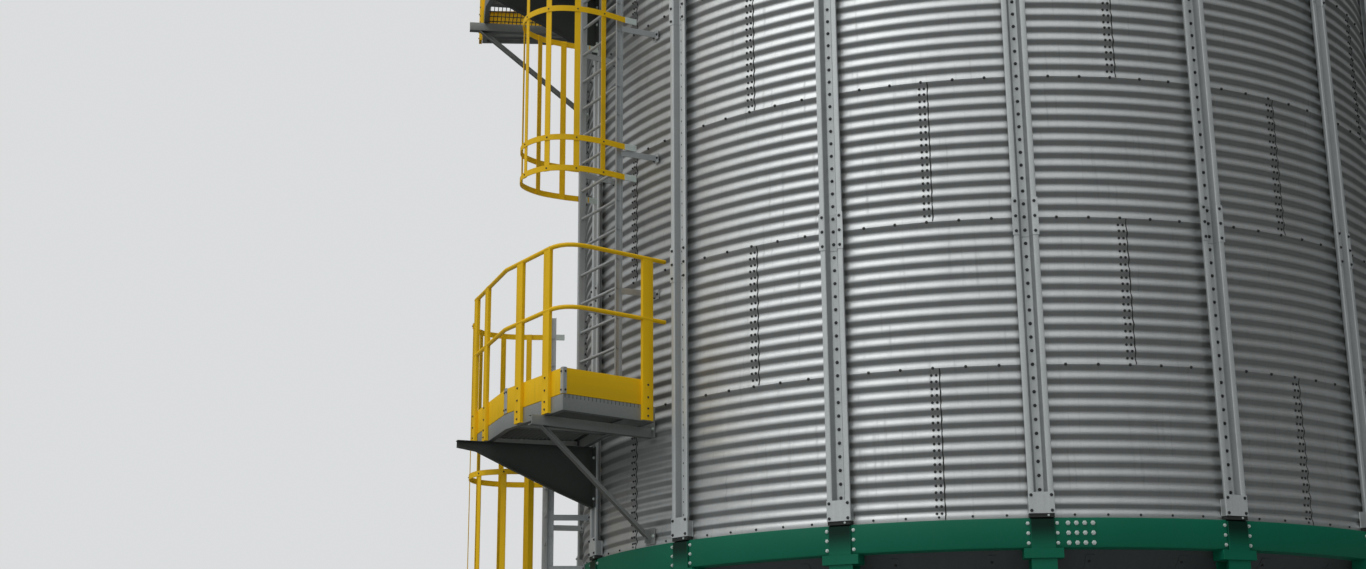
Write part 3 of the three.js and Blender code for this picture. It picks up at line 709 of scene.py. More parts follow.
# %% [markdown]
# At its foot each stiffener ends behind a flat plate with a bolt in each corner, which stands on the ring beam.
# At the eave a band and a rolled flange tie the tops together and carry the roof's edge.

# %% Stiffener feet and eave ring
FOOT_HALF, FOOT_SHEET, CHEEK_SHEET = 0.092, 0.006, 0.004
FOOT_LOW = WALL_BASE + WALL_LIP
FOOT_HIGH = FOOT_LOW + 0.152
# Under each foot a near-black block fills the gap: painted shadow for the dark gap there.
feet, shadow_blocks, foot_bolts, foot_gap_bolts = [], [], [], []
face = WALL_FACE + RISE
inner = FOOT_HALF - CHEEK_SHEET
for angle in STIFFENERS:
    feet.append(block((-FOOT_HALF, FOOT_HALF), (face, face + FOOT_SHEET), (FOOT_LOW, FOOT_HIGH), angle))
    shadow_blocks.append(block((-inner, inner), (WALL_FACE, face), (WALL_BASE, FOOT_LOW), angle))
    foot_gap_bolts.append((angle, face, 0.045, WALL_BASE + WALL_LIP / 2))
    for side in (-1, 1):
        cheek = sorted((side * FOOT_HALF, side * inner))
        feet.append(block(cheek, (WALL_FACE, face + 0.003), (FOOT_LOW, FOOT_HIGH - 0.03), angle))
        for height in (FOOT_LOW + 0.020, FOOT_HIGH - 0.022):
            foot_bolts.append((angle, face + FOOT_SHEET, side * 0.072, height))
piece("foot_shadow_blocks", shadow_blocks, dark_line_and_shadow)
piece("foot_gap_bolts", [wall_bolts(foot_gap_bolts, 0.75)], bright_zinc, BOLT_CREASE)
piece("stiffener_feet", feet, stiffener_zinc)
piece("foot_bolts", [wall_bolts(foot_bolts, 1.05)], bolt_black_and_shade, BOLT_CREASE)

EAVE_R, EAVE_FLANGE_R = WALL_FACE + 0.0035, 3.730
EAVE_BASE, EAVE_LEVEL = WALL_TOP - 0.090, WALL_TOP - 0.0045
eave_section = folded([(EAVE_R, EAVE_BASE), (EAVE_R, EAVE_LEVEL), (EAVE_FLANGE_R, EAVE_LEVEL)], 0.006, 0.010)
eave_ring = piece("eave_ring", [turned_ring(eave_section, 128)], stiffener_zinc)
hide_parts(*(f"stiffener_quarter_{i}" for i in range(1, 5)))
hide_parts(*(f"stiffener_quarter_{i}" for i in range(1, 5)))

# %% [markdown]
# The ring beam is a rolled channel, painted green, that carries the wall and hands its load to the legs. Its
# lengths meet in a bolted splice, and bolts with pale heads hold it to the plate at each leg.

# %% Ring beam
BEAM_BASE, BEAM_TOP = beam_low.z, beam_high.z
BEAM_OUTER_R = 3.712
BEAM_INNER_R = 3.592
BEAM_SHEET = 0.012
web = BEAM_OUTER_R - BEAM_SHEET / 2
beam_line = [(BEAM_INNER_R, BEAM_BASE + BEAM_SHEET / 2), (web, BEAM_BASE + BEAM_SHEET / 2),
             (web, BEAM_TOP - BEAM_SHEET / 2), (BEAM_INNER_R, BEAM_TOP - BEAM_SHEET / 2)]
beam_section = folded(beam_line, BEAM_SHEET, 0.012)
ring_beam = piece("ring_beam_channel", [turned_ring(beam_section, 192)], green_paint)
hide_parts("ring_beam")

# %% Bolts on the beam
BOLT_LEVELS = (0.034, 0.104, 0.174)
COLUMN_HALF = 0.103
SPLICE_MIDDLE, SPLICE_PITCH = 0.268, 0.059


def bolt_column(angle, across):
    """One column of bolts on the beam's face, a length across from a leg."""
    turn = angle + arc_degrees(across, BEAM_OUTER_R)
    return [(turn, BEAM_OUTER_R, 0.0, BEAM_BASE + level) for level in BOLT_LEVELS]


leg_bolts, splice_bolts = [], []
for i, angle in enumerate(STIFFENERS):
    for side in (-1, 1):
        leg_bolts += bolt_column(angle, side * COLUMN_HALF)
    if i % 4 == 3:
        for column in range(4):
            splice_bolts += bolt_column(angle, SPLICE_MIDDLE + (column - 1.5) * SPLICE_PITCH)
piece("leg_head_bolts", [wall_bolts(leg_bolts, 1.15)], bright_zinc, BOLT_CREASE)
piece("beam_splice_bolts", [wall_bolts(splice_bolts, 1.45)], bright_zinc, BOLT_CREASE)

# %% [markdown]
# The cone hangs inside the ring beam and runs down at 45 degrees to the outlet. It is made of wedge-shaped
# sheets with bolted laps, and it lies in the tank's shade, which its near-black zinc paints in as painted shade. On
# that slope a sheet is 1.4142 times as thick when it is measured level, and its inner bend lies 0.4142 of the
# thickness above the outer one.

# %% Hopper cone and outlet
cone_low, cone_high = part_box("hopper_cone")
CONE_R = BEAM_INNER_R - CLEARANCE
OUTLET_R = 0.300
CONE_SHEET = 0.008
ON_THE_SLANT, AT_THE_BEND = 1.4142, 0.4142
inside = CONE_R - CONE_SHEET
cone_shell = [(CONE_R, cone_high.z), (CONE_R, BEAM_BASE), (OUTLET_R, cone_low.z),
              (OUTLET_R - CONE_SHEET * ON_THE_SLANT, cone_low.z),
              (inside, BEAM_BASE + CONE_SHEET * AT_THE_BEND), (inside, cone_high.z)]
cone = piece("cone_sheets", [turned_ring(cone_shell, 128)], hopper_zinc)
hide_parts("hopper_cone")

# %% Laps of the cone
CONE_LAPS, LAP_HALF, LAP_SHEET, LAP_NARROWING = 32, 0.032, 0.0025, 0.45
CONE_BOLT_PITCH = 0.17
laps, cone_bolts, cone_facing = [], [], []
for i in range(CONE_LAPS):
    angle = FIRST_STIFFENER + BAY / 4 + i * BAY / 2
    top = stand([0, CONE_R - 0.03, BEAM_BASE - 0.03], angle)
    foot = stand([0, OUTLET_R + 0.02, cone_low.z + 0.02], angle)
    facing = unit(radial(angle) - UP)
    ends = []
    for end, width in ((top, LAP_HALF), (foot, LAP_HALF * LAP_NARROWING)):
        ring = [(-width, 0.0), (width, 0.0), (width, LAP_SHEET), (-width, LAP_SHEET)]
        ends.append(end + np.array([a * tangent(angle) + b * facing for a, b in ring]))
    laps.append(loft(ends))
    length = np.linalg.norm(foot - top)
    for share in np.arange(0.06, length - 0.05, CONE_BOLT_PITCH) / length:
        cone_bolts.append(top + (foot - top) * share + facing * LAP_SHEET)
        cone_facing.append(facing)
piece("cone_laps", laps, hopper_zinc)
piece("cone_bolts", [bolts(cone_bolts, np.array(cone_facing), 0.95)], bolt_black_and_shade, BOLT_CREASE)

# %% Outlet
pipe_low, pipe_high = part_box("outlet_collar")
COLLAR_R, FLANGE, PLATE, BOLT_CIRCLE = 0.285, 0.060, 0.010, 0.321
base, top = pipe_low.z, pipe_high.z
pipe_r, flange_r = COLLAR_R + PLATE, COLLAR_R + FLANGE
pipe = [(COLLAR_R, base), (flange_r, base), (flange_r, base + PLATE), (pipe_r, base + PLATE),
        (pipe_r, top - PLATE), (flange_r, top - PLATE), (flange_r, top), (COLLAR_R, top)]
collar = piece("outlet_pipe", [turned_ring(pipe, 48)], hopper_zinc)
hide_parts("outlet_collar")
flange_bolts = [stand([0, BOLT_CIRCLE, top - PLATE], a) for a in range(0, 360, 30)]
flange_bolts += [stand([0, BOLT_CIRCLE, base + PLATE], a) for a in range(15, 375, 30)]
facing = np.array([-UP] * 12 + [UP] * 12)
piece("outlet_bolts", [bolts(flange_bolts, facing, 1.1)], bolt_black_and_shade, BOLT_CREASE)

# %% [markdown]
# The legs are I-sections, rolled with round roots between web and flange, on base plates. A head plate carries
# the ring beam, and every second bay is braced by two flat bars that cross. The round roots are what a plain box
# lacks: they catch a line of light down each leg.

# %% Legs
LEG_MIDDLE, LEG_WIDTH, LEG_DEPTH = 3.632, 0.180, 0.160
LEG_FLANGE, LEG_WEB, LEG_ROOT = 0.014, 0.010, 0.012
BASE_HALF, BASE_SHEET = 0.170, 0.025
HEAD_HALF, HEAD_FACE_HALF, HEAD_TOP = 0.139, 0.086, BEAM_BASE - CLEARANCE
HEAD_BASE = HEAD_TOP - 0.070
ANCHOR_ACROSS, ANCHOR_OUT = 0.140, 0.125


def rolled_section():
    """The outline of an I-section with round roots, across and out from its middle."""
    half, deep, inner, web = LEG_WIDTH / 2, LEG_DEPTH / 2, LEG_DEPTH / 2 - LEG_FLANGE, LEG_WEB / 2
    turn = np.linspace(math.pi / 2, math.pi, 5)
    root = [(web + LEG_ROOT * (1 + math.cos(t)), inner - LEG_ROOT * (1 - math.sin(t))) for t in turn]
    quarter = np.array([(half, deep), (half, inner), *root])
    lower = quarter[::-1] * [1, -1]
    right = np.concatenate([quarter, lower])
    return np.concatenate([right, right[::-1] * [-1, 1]])


anchors, legs = [], []
leg_section = rolled_section() + np.array([0.0, LEG_MIDDLE])
base_reach = (LEG_MIDDLE - BASE_HALF, LEG_MIDDLE + BASE_HALF)
head_face = BEAM_OUTER_R + BEAM_SHEET
for angle in STIFFENERS:
    legs.append(upright(leg_section, angle, BASE_SHEET - 0.001, HEAD_BASE + 0.001))
    legs.append(block((-BASE_HALF, BASE_HALF), base_reach, (0.0, BASE_SHEET), angle))
    legs.append(block((-HEAD_HALF, HEAD_HALF), (BEAM_INNER_R, head_face), (HEAD_BASE, HEAD_TOP), angle))
    legs.append(block((-HEAD_FACE_HALF, HEAD_FACE_HALF), (BEAM_OUTER_R + 0.0002, head_face),
                      (HEAD_TOP - 0.002, BEAM_TOP - BEAM_SHEET), angle, 0.003))
    for across in (-ANCHOR_ACROSS, ANCHOR_ACROSS):
        for out in (-ANCHOR_OUT, ANCHOR_OUT):
            anchors.append(stand([across, LEG_MIDDLE + out, BASE_SHEET], angle))
piece("anchor_bolts", [bolts(anchors, UP, 2.0)], bright_zinc, BOLT_CREASE)

# %% Braces
BRACE_FOOT, BRACE_HEAD = 0.380, HEAD_TOP - 0.330
BRACE_SHEET, BRACE_WIDTH, JOINT_WIDTH = 0.010, 0.070, 0.150
joint_section = oblong(JOINT_WIDTH, BRACE_SHEET - 0.0004)
joint_plates, brace_bolts, brace_facing = [], [], []
for left in STIFFENERS[::2]:
    outwards = radial(left + BAY / 2)
    for here, there in ((left, left + BAY), (left + BAY, left)):
        for level_here, level_there in ((BRACE_FOOT, BRACE_HEAD), (BRACE_HEAD, BRACE_FOOT)):
            start = stand([0, LEG_MIDDLE, level_here], here)
            end = stand([0, LEG_MIDDLE, level_there], there)
            run = unit(end - start)
            if here == left:
                legs.append(straight(oblong(BRACE_WIDTH, BRACE_SHEET), start, end, outwards))
            start = start + outwards * BRACE_SHEET
            joint_plates.append(straight(joint_section, start + run * 0.010, start + run * 0.300, outwards))
            for along in (0.150, 0.250):
                brace_bolts.append(start + run * along + outwards * BRACE_SHEET / 2)
                brace_facing.append(outwards)
leg_piece = piece("legs_and_braces", legs, green_paint)
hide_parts(*(f"leg_pair_{i}" for i in range(1, 9)))
piece("brace_joint_plates", joint_plates, green_paint)
piece("brace_bolts", [bolts(brace_bolts, np.array(brace_facing), 1.4)], bright_zinc, BOLT_CREASE)

# %% [markdown]
# The roof is a cone of wedge-shaped sheets with a rib standing at each joint and a lower crease between them.
# Its edge is turned down so that rain drips clear of the wall.

# %% Roof
roof_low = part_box("roof_cone")[0]
SLOPE = math.radians(30)
ROOF_EDGE_R, ROOF_EYE_R, ROOF_SHEET = 3.760, 0.420, 0.007
roof_drop = ROOF_SHEET / math.cos(SLOPE)
roof_base = roof_low.z


def roof_level(out):
    return roof_base + roof_drop + (ROOF_EDGE_R - out) * math.tan(SLOPE)


drip_r, drip_base, eye_level = ROOF_EDGE_R + 0.004, roof_base - 0.030, roof_level(ROOF_EYE_R)
skin = [(ROOF_EDGE_R, drip_base), (drip_r, drip_base), (drip_r, roof_base + roof_drop),
        (ROOF_EYE_R, eye_level), (ROOF_EYE_R, eye_level - roof_drop), (ROOF_EDGE_R - 0.002, roof_base)]
roof = piece("roof_sheets", [turned_ring(skin, 128)], roof_zinc)
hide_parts("roof_cone")

# %% Roof ribs
RIBS, RIB, CREASE, CREASE_END_R = 64, (0.030, 0.011, 0.042), (0.020, 0.008, 0.012), 1.75
LID_HALF, HATCH_R = 0.340, 3.250
HATCH_REACH = LID_HALF * math.cos(SLOPE)
ribs = []
for i in range(RIBS):
    angle = FIRST_STIFFENER + i * BAY / 4
    main = i % 2 == 0
    foot_half, head_half, tall = RIB if main else CREASE
    spans = [(ROOF_EDGE_R - 0.025, ROOF_EYE_R + 0.02 if main else CREASE_END_R)]
    if abs(angle - BAY_MIDDLE) < 0.01:
        spans = [(spans[0][0], HATCH_R + HATCH_REACH), (HATCH_R - HATCH_REACH, spans[0][1])]
    facing = radial(angle) * math.sin(SLOPE) + UP * math.cos(SLOPE)
    for span in spans:
        rings = []
        for out in span:
            share = 0.6 + 0.4 * (out - ROOF_EYE_R) / (ROOF_EDGE_R - ROOF_EYE_R)
            half = [(-foot_half, -0.001), (-head_half, tall)]
            profile = [(a * share, b) for a, b in half] + [(-a * share, b) for a, b in half[::-1]]
            at = stand([0, out, roof_level(out)], angle)
            rings.append(at + np.array([a * tangent(angle) + b * facing for a, b in profile]))
        ribs.append(loft(rings))
piece("roof_ribs", ribs, roof_zinc)

# %% Roof eye and cap
eye_low, eye_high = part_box("roof_collar")
eye_r, bead_r, inner_r = ROOF_EYE_R - 0.003, ROOF_EYE_R + 0.005, ROOF_EYE_R - 0.013
ventilator = [(inner_r, eye_low.z), (eye_r, eye_low.z), (eye_r, eye_high.z - 0.02),
              (bead_r, eye_high.z - 0.012), (bead_r, eye_high.z), (inner_r, eye_high.z)]
vent = piece("roof_eye_ring", [turned_ring(ventilator, 64)], roof_zinc)
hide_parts("roof_collar")
cap_low, cap_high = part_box("roof_cap")
UNDER_CAP = [(0.002, 0.070), (0.4195, 0.070), (0.428, 0.001), (0.474, 0.001),
             (0.480, 0.008), (0.480, 0.040), (0.470, 0.048), (0.380, 0.110)]
OVER_CAP = [(0.200, -0.052), (0.060, -0.008), (0.002, 0.0)]
cap_line = [(out, cap_low.z + up) for out, up in UNDER_CAP] + [(out, cap_high.z + up) for out, up in OVER_CAP]
cap = piece("roof_cap_lid", [turned_ring(cap_line, 64)], roof_zinc, 28)
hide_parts("roof_cap")

# %% Roof hatch
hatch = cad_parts["roof_hatch"]
hatch.data.materials.clear()
hatch.data.materials.append(roof_zinc)


def on_hatch(form):
    """A form of across, away from the roof and down its slope, put on the hatch."""
    points, faces = form
    away = radial(BAY_MIDDLE) * math.sin(SLOPE) + UP * math.cos(SLOPE)
    down = radial(BAY_MIDDLE) * math.cos(SLOPE) - UP * math.sin(SLOPE)
    middle = stand([0, HATCH_R, roof_level(HATCH_R)], BAY_MIDDLE)
    return middle + points[:, :1] * tangent(BAY_MIDDLE) + points[:, 1:2] * away + points[:, 2:] * down, faces


LID_TOP, ROD_R, HANDLE_HALF = 0.1463, 0.008, 0.090
handle_low, handle_high = LID_TOP - 0.004, LID_TOP + 0.050
handle_line = eased([(-HANDLE_HALF, handle_low), (-HANDLE_HALF, handle_high),
                     (HANDLE_HALF, handle_high), (HANDLE_HALF, handle_low)], 0.03, 5)
handle_path = np.column_stack([handle_line, np.full(len(handle_line), LID_HALF - 0.080)])
trim = [level_sweep(disc(ROD_R, 10), handle_path)]
for across in (-0.200, 0.200):
    pin = [np.array([across + shift, LID_TOP + 0.006, -LID_HALF - 0.006]) for shift in (-0.045, 0.045)]
    leaf = [np.array([across, LID_TOP + 0.003, v]) for v in (-LID_HALF - 0.004, -LID_HALF + 0.120)]
    trim.append(straight(disc(0.012, 12), *pin, [0, 1, 0]))
    trim.append(straight(oblong(0.070, 0.006), *leaf, [0, 1, 0]))
    trim += [bolts([across, LID_TOP + 0.006, -LID_HALF + v], [0, 1, 0], 0.8) for v in (0.040, 0.095)]
piece("hatch_trim", [on_hatch(form) for form in trim], ladder_zinc)

# %% [markdown]
# A landing is a frame of folded channel with bar grating on bearers. It hangs on a gusset plate at each
# stiffener it passes, and on an arm with a strut where it ends between two stiffeners. The grating is real
# bars, because light through it shows from below.

# %% Places of the landings
FRAME_HEIGHT = 0.130
FLOOR_INNER_R, FLOOR_OUTER_R = 3.790, 4.680
LANDINGS = {
    1: {"base": WALL_BASE + 0.950, "bends": (-82.1, -94.0, -106.9), "strut": -85.7, "shut": "first",
        "gussets": (FIRST_STIFFENER,),
        "posts": ((0, 0.06), (1, 0.26), (1, 0.73), (2, 0.58), (2, 0.95))},
    2: {"base": WALL_BASE + 5.080, "bends": (-95.9, -106.9, -117.6), "strut": -111.7, "shut": "last",
        "gussets": (FIRST_STIFFENER,),
        "posts": ((0, 0.1), (0, 0.6), (1, 0.5), (1, 0.95), (2, 0.75))},
    3: {"base": WALL_BASE + 9.900, "bends": (-54.0, -66.5, -80.0, -93.5, -106.9), "strut": None, "shut": "first",
        "gussets": STIFFENERS[:3],
        "posts": ((0, 0.1), (1, 0.1), (1, 0.95), (2, 0.95), (3, 0.95), (4, 0.93))},
}
GRATING_PITCH, ROD_PITCH = 0.036, 0.100
ARM_TIP = FLOOR_OUTER_R + 0.110
GUSSET_DROP = 0.520
ARM_HALF, STRUT_HALF, ARM_BEND = 0.037, 0.025, 0.006


def corner(radius, angle, z):
    return AXIS + radius * radial(angle) + z * UP


print("landing floors at", [round(landing["base"] + FRAME_HEIGHT, 3) for landing in LANDINGS.values()])


# %% Bar grating
def grating(base, first, last):
    """Bars along one length of a landing, with rods across them."""
    top = base + FRAME_HEIGHT
    made = []
    outer = [corner(FLOOR_OUTER_R - 0.012, a, top - 0.016) for a in (first, last)]
    inner = [corner(FLOOR_INNER_R + 0.012, a, top - 0.016) for a in (first, last)]
    depth = np.linalg.norm(outer[0] - inner[0])
    for t in np.linspace(0.01, 0.99, int(depth / GRATING_PITCH)):
        start, end = (inner[i] + (outer[i] - inner[i]) * t for i in (0, 1))
        made.append(straight(oblong(0.005, 0.030, 0.0005), start, end, UP))
    length = np.linalg.norm(outer[0] - outer[1])
    for t in np.linspace(0.02, 0.98, int(length / ROD_PITCH)):
        start, end = inner[0] + (inner[1] - inner[0]) * t, outer[0] + (outer[1] - outer[0]) * t
        made.append(straight(oblong(0.007, 0.008, 0.0005), start + UP * 0.011, end + UP * 0.011, UP))
    return made


print("grating bars", GRATING_PITCH, "apart, rods", ROD_PITCH, "apart")


# %% Gussets and arms
def gusset(angle, base):
    """A triangular plate with a lip along its lower edge and a plate on the stiffener."""
    face = WALL_FACE + RISE + SHEET + 0.0055
    tip = ARM_TIP + 0.120
    edge = [(face, base - GUSSET_DROP), (face + 0.30, base - 0.400), (face + 0.75, base - 0.205),
            (tip - 0.16, base - 0.085), (tip, base - 0.060)]
    profile = [*edge, (tip, base), (face, base)]
    rings = [[stand([across, out, z], angle) for out, z in profile] for across in (-0.004, 0.004)]
    made = [loft(rings)]
    for start, end in zip(edge, edge[1:]):
        ends = [stand([0.02, out, z], angle) for out, z in (start, end)]
        made.append(straight(oblong(0.050, 0.006), *ends, UP))
    made.append(block((-0.095, 0.095), (face - 0.006, face + 0.001), (base - GUSSET_DROP, base - 0.010), angle))
    ends = [stand([0, out, base - 0.004], angle) for out in (face, tip)]
    made.append(straight(oblong(0.060, 0.007), *ends, UP))
    spots = [(angle, face + 0.001, across, base - up) for across in (-0.070, 0.070) for up in (0.10, 0.27, 0.45)]
    return made, spots


def strutted_arm(angle, base):
    """A channel arm under the frame's end, with an angle strut down to the wall."""
    arm_line = [(0.025, ARM_HALF), (-0.027, ARM_HALF), (-0.027, -ARM_HALF), (0.025, -ARM_HALF)]
    ends = [stand([0, out, base - 0.040], angle) for out in (WALL_FACE + 0.012, ARM_TIP)]
    made = [straight(folded(arm_line, ARM_BEND), *ends, UP)]
    strut_line = [(0.025, STRUT_HALF), (-0.022, STRUT_HALF), (-0.022, -STRUT_HALF)]
    foot = stand([0, WALL_FACE + 0.021, base - 0.870], angle)
    head = stand([0, ARM_TIP - 0.110, base - 0.060], angle)
    made.append(straight(folded(strut_line, ARM_BEND), foot, head, radial(angle)))
    spots = []
    for low, high in ((0.935, 0.805), (0.080, -0.060)):
        pad, fin = (base - low, base - high), (base - low + 0.01, base - high - 0.01)
        made.append(block((-0.065, 0.065), (WALL_FACE, WALL_FACE + 0.008), pad, angle))
        made.append(block((-0.004, 0.004), (WALL_FACE, WALL_FACE + 0.060), fin, angle))
        spots += [(angle, WALL_FACE + 0.008, across, base - (low + high) / 2) for across in (-0.045, 0.045)]
    return made, spots


print("a gusset has", len(gusset(FIRST_STIFFENER, WALL_BASE)[0]), "parts")

# %% The three landings
channel_high = FRAME_HEIGHT - 0.003
channel = folded([(0.045, 0.003), (0.003, 0.003), (0.003, channel_high), (0.045, channel_high)], 0.005)
for number, landing in LANDINGS.items():
    base, bends = landing["base"], landing["bends"]
    outline = [corner(FLOOR_OUTER_R, a, base) for a in bends]
    outline += [corner(FLOOR_INNER_R, a, base) for a in bends[::-1]]
    frame_bars = [level_sweep(channel, outline, joined=True)]
    floor_bars, plates, spots = [], [], []
    for first, last in zip(bends, bends[1:]):
        floor_bars += grating(base, first, last)
    bearers = [bends[0] - 1.2, *bends[1:-1], bends[-1] + 1.2]
    for a in bearers:
        ends = [corner(out, a, base + 0.060) for out in (FLOOR_INNER_R + 0.01, FLOOR_OUTER_R - 0.01)]
        frame_bars.append(straight(oblong(0.050, 0.070, 0.003), *ends, UP))
    for a in landing["gussets"]:
        gusset_plates, plate_bolts = gusset(a, base)
        plates += gusset_plates
        spots += plate_bolts
    if landing["strut"] is not None:
        arm, arm_bolts = strutted_arm(landing["strut"], base)
        frame_bars += arm
        spots += arm_bolts
    landing_piece = piece(f"landing_frame_{number}", frame_bars, frame_zinc)
    # The grating and gussets are near-black: painted shade under the landing.
    piece(f"landing_grating_{number}", floor_bars, gusset_shade_zinc)
    piece(f"landing_gussets_{number}", plates, gusset_shade_zinc)
    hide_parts(f"landing_{number}")
    piece(f"landing_bolts_{number}", [wall_bolts(spots, 1.2)], bright_zinc, BOLT_CREASE)

# %% [markdown]
# A guard keeps people on the landing: a toe board of folded sheet, posts of folded channel bolted to the frame,
# and two tubes bent round at the corners.

# %% Guards
TOE_HEIGHT, GUARD_TOP, GUARD_MIDDLE = 0.205, 1.205, 0.700
POST_WIDTH, POST_DEPTH, TUBE_R = 0.105, 0.030, 0.018
POST_SHEET, TOE_SHEET, COVER_SHEET = 0.003, 0.003, 0.003
RAIL_END = 0.130


def open_channel(half, depth, sheet, bend=0.003):
    """A folded channel that is open at the back: its outside is half wide on each side and depth deep."""
    edge, back, front = half - sheet / 2, sheet / 2, depth - sheet / 2
    return folded([(-edge, back), (-edge, front), (edge, front), (edge, back)], sheet, bend)


post_section = open_channel(POST_WIDTH / 2, POST_DEPTH, POST_SHEET)
toe_edge, toe_low, toe_high = -0.018, 0.0017, TOE_HEIGHT - 0.0017
print("a post's section has", len(post_section), "corners")

# %% The three guards
for number, landing in LANDINGS.items():
    base, bends = landing["base"], landing["bends"]
    corners = [corner(FLOOR_OUTER_R, a, base) for a in bends]
    if landing["shut"] == "first":
        path = np.array([corner(FLOOR_INNER_R + 0.040, bends[0], base), *corners])
    else:
        path = np.array([*corners, corner(FLOOR_INNER_R + 0.040, bends[-1], base)])
    middle = corner((FLOOR_INNER_R + FLOOR_OUTER_R) / 2, (bends[0] + bends[-1]) / 2, base)
    trial = side_line(path[:, :2], 0.01)[1]
    sign = 1 if np.linalg.norm(trial - middle[:2]) > np.linalg.norm(path[1, :2] - middle[:2]) else -1
    top = base + FRAME_HEIGHT
    toe_line = [(toe_edge, toe_low), (0.0, toe_low), (0.0, toe_high), (toe_edge, toe_high)]
    toe = folded([(sign * a, b) for a, b in toe_line], TOE_SHEET, 0.003)
    boards, covers, rails, posts, toe_bolts, toe_facing = [], [], [], [], [], []
    boards.append(level_sweep(toe, path + UP * (FRAME_HEIGHT + CLEARANCE)))
    for i in range(1, len(path) - 1):
        for before, after in ((path[i - 1], path[i]), (path[i + 1], path[i])):
            run = unit(before - after)
            side = np.array([run[1], -run[0], 0.0])
            side = side if np.dot(side, path[i] - middle) > 0 else -side
            at = path[i] + run * 0.016 + side * COVER_SHEET + UP * FRAME_HEIGHT
            ends = (at + UP * 0.002, at + UP * (TOE_HEIGHT + 0.004))
            covers.append(straight(oblong(0.034, COVER_SHEET), *ends, side))
            for up in (0.030, 0.175):
                toe_bolts.append(path[i] + run * 0.020 + side * 0.0045 + UP * (FRAME_HEIGHT + up))
                toe_facing.append(side)
    outer = side_line(path[:, :2], sign * (CLEARANCE + POST_DEPTH / 2))
    tube_line = outer.copy()
    end, beside = (0, 1) if landing["shut"] == "first" else (-1, -2)
    tube_line[end] += unit(outer[end] - outer[beside]) * RAIL_END
    for height in (GUARD_TOP, GUARD_MIDDLE):
        run = np.column_stack([tube_line, np.full(len(tube_line), top + height)])
        rails.append(level_sweep(disc(TUBE_R, 12), eased(run, 0.22, 6)))
    for index, share in landing["posts"]:
        start, end = outer[index], outer[index + 1]
        at = np.array([*(start + (end - start) * share), 0.0])
        along = unit(np.array([*(end - start), 0.0]))
        side = np.array([along[1], -along[0], 0.0]) * sign
        foot = at - side * POST_DEPTH / 2 + UP * (base + 0.006)
        posts.append(straight(post_section, foot, foot + UP * (FRAME_HEIGHT + GUARD_TOP + 0.006), side))
        for up in (0.040, 0.100, FRAME_HEIGHT + 0.060, FRAME_HEIGHT + 0.160):
            toe_bolts.append(foot + side * POST_DEPTH + UP * (up - 0.006))
            toe_facing.append(side)
    guard = piece(f"guard_rails_{number}", rails, yellow_paint)
    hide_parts(f"guard_{number}")
    piece(f"guard_posts_{number}", posts, yellow_paint)
    piece(f"toe_boards_{number}", boards, yellow_paint)
    piece(f"toe_corner_covers_{number}", covers, ladder_zinc)
    heads = bolts(toe_bolts, np.array(toe_facing), 0.8)
    piece(f"guard_bolts_{number}", [heads], bolt_black_and_shade, BOLT_CREASE)

# %% [markdown]
# A ladder has two folded channel rails, round rungs and arms that hold it off the wall. Its cage is flat bar:
# hoops outside, upright straps inside, with a bolt at each crossing.

# %% Ladders
STANDOFF, LADDER_HALF, RAIL_DEPTH, RAIL_WIDTH = 0.330, 0.330, 0.060, 0.025
RUNG_PITCH, RUNG_R, LADDER_RISE, CAGE_TOP = 0.250, 0.0135, 1.100, 1.085
ARM_SPREAD = BAY / 4
ARM_BOLTS = ((-0.020, -0.022), (-0.020, 0.022), (0.022, 0.0))
WALL_MIDDLE_R = 3.6575
LADDER_R = WALL_MIDDLE_R + STANDOFF
W = WALL_BASE
floors = {number: landing["base"] + FRAME_HEIGHT for number, landing in LANDINGS.items()}
LADDERS = {
    1: {"bay": BAY_NEXT, "start": 0.0, "landing": 1, "open": 1,
        "hoops": (2.300, 2.565, 3.700, 4.790), "feet": (3.960, 4.400, 5.500)},
    2: {"bay": BAY_MIDDLE, "start": floors[1] + CLEARANCE, "landing": 2, "open": -1,
        "hoops": (W + 3.020, W + 3.285, W + 4.420), "feet": (W + 2.050, W + 3.230, W + 4.340)},
    3: {"bay": BAY_NEXT, "start": floors[2] + CLEARANCE, "landing": 3, "open": 1,
        "hoops": (W + 7.400, W + 7.665, W + 8.800, W + 9.750), "feet": (W + 6.750, W + 8.100, W + 9.500)},
}

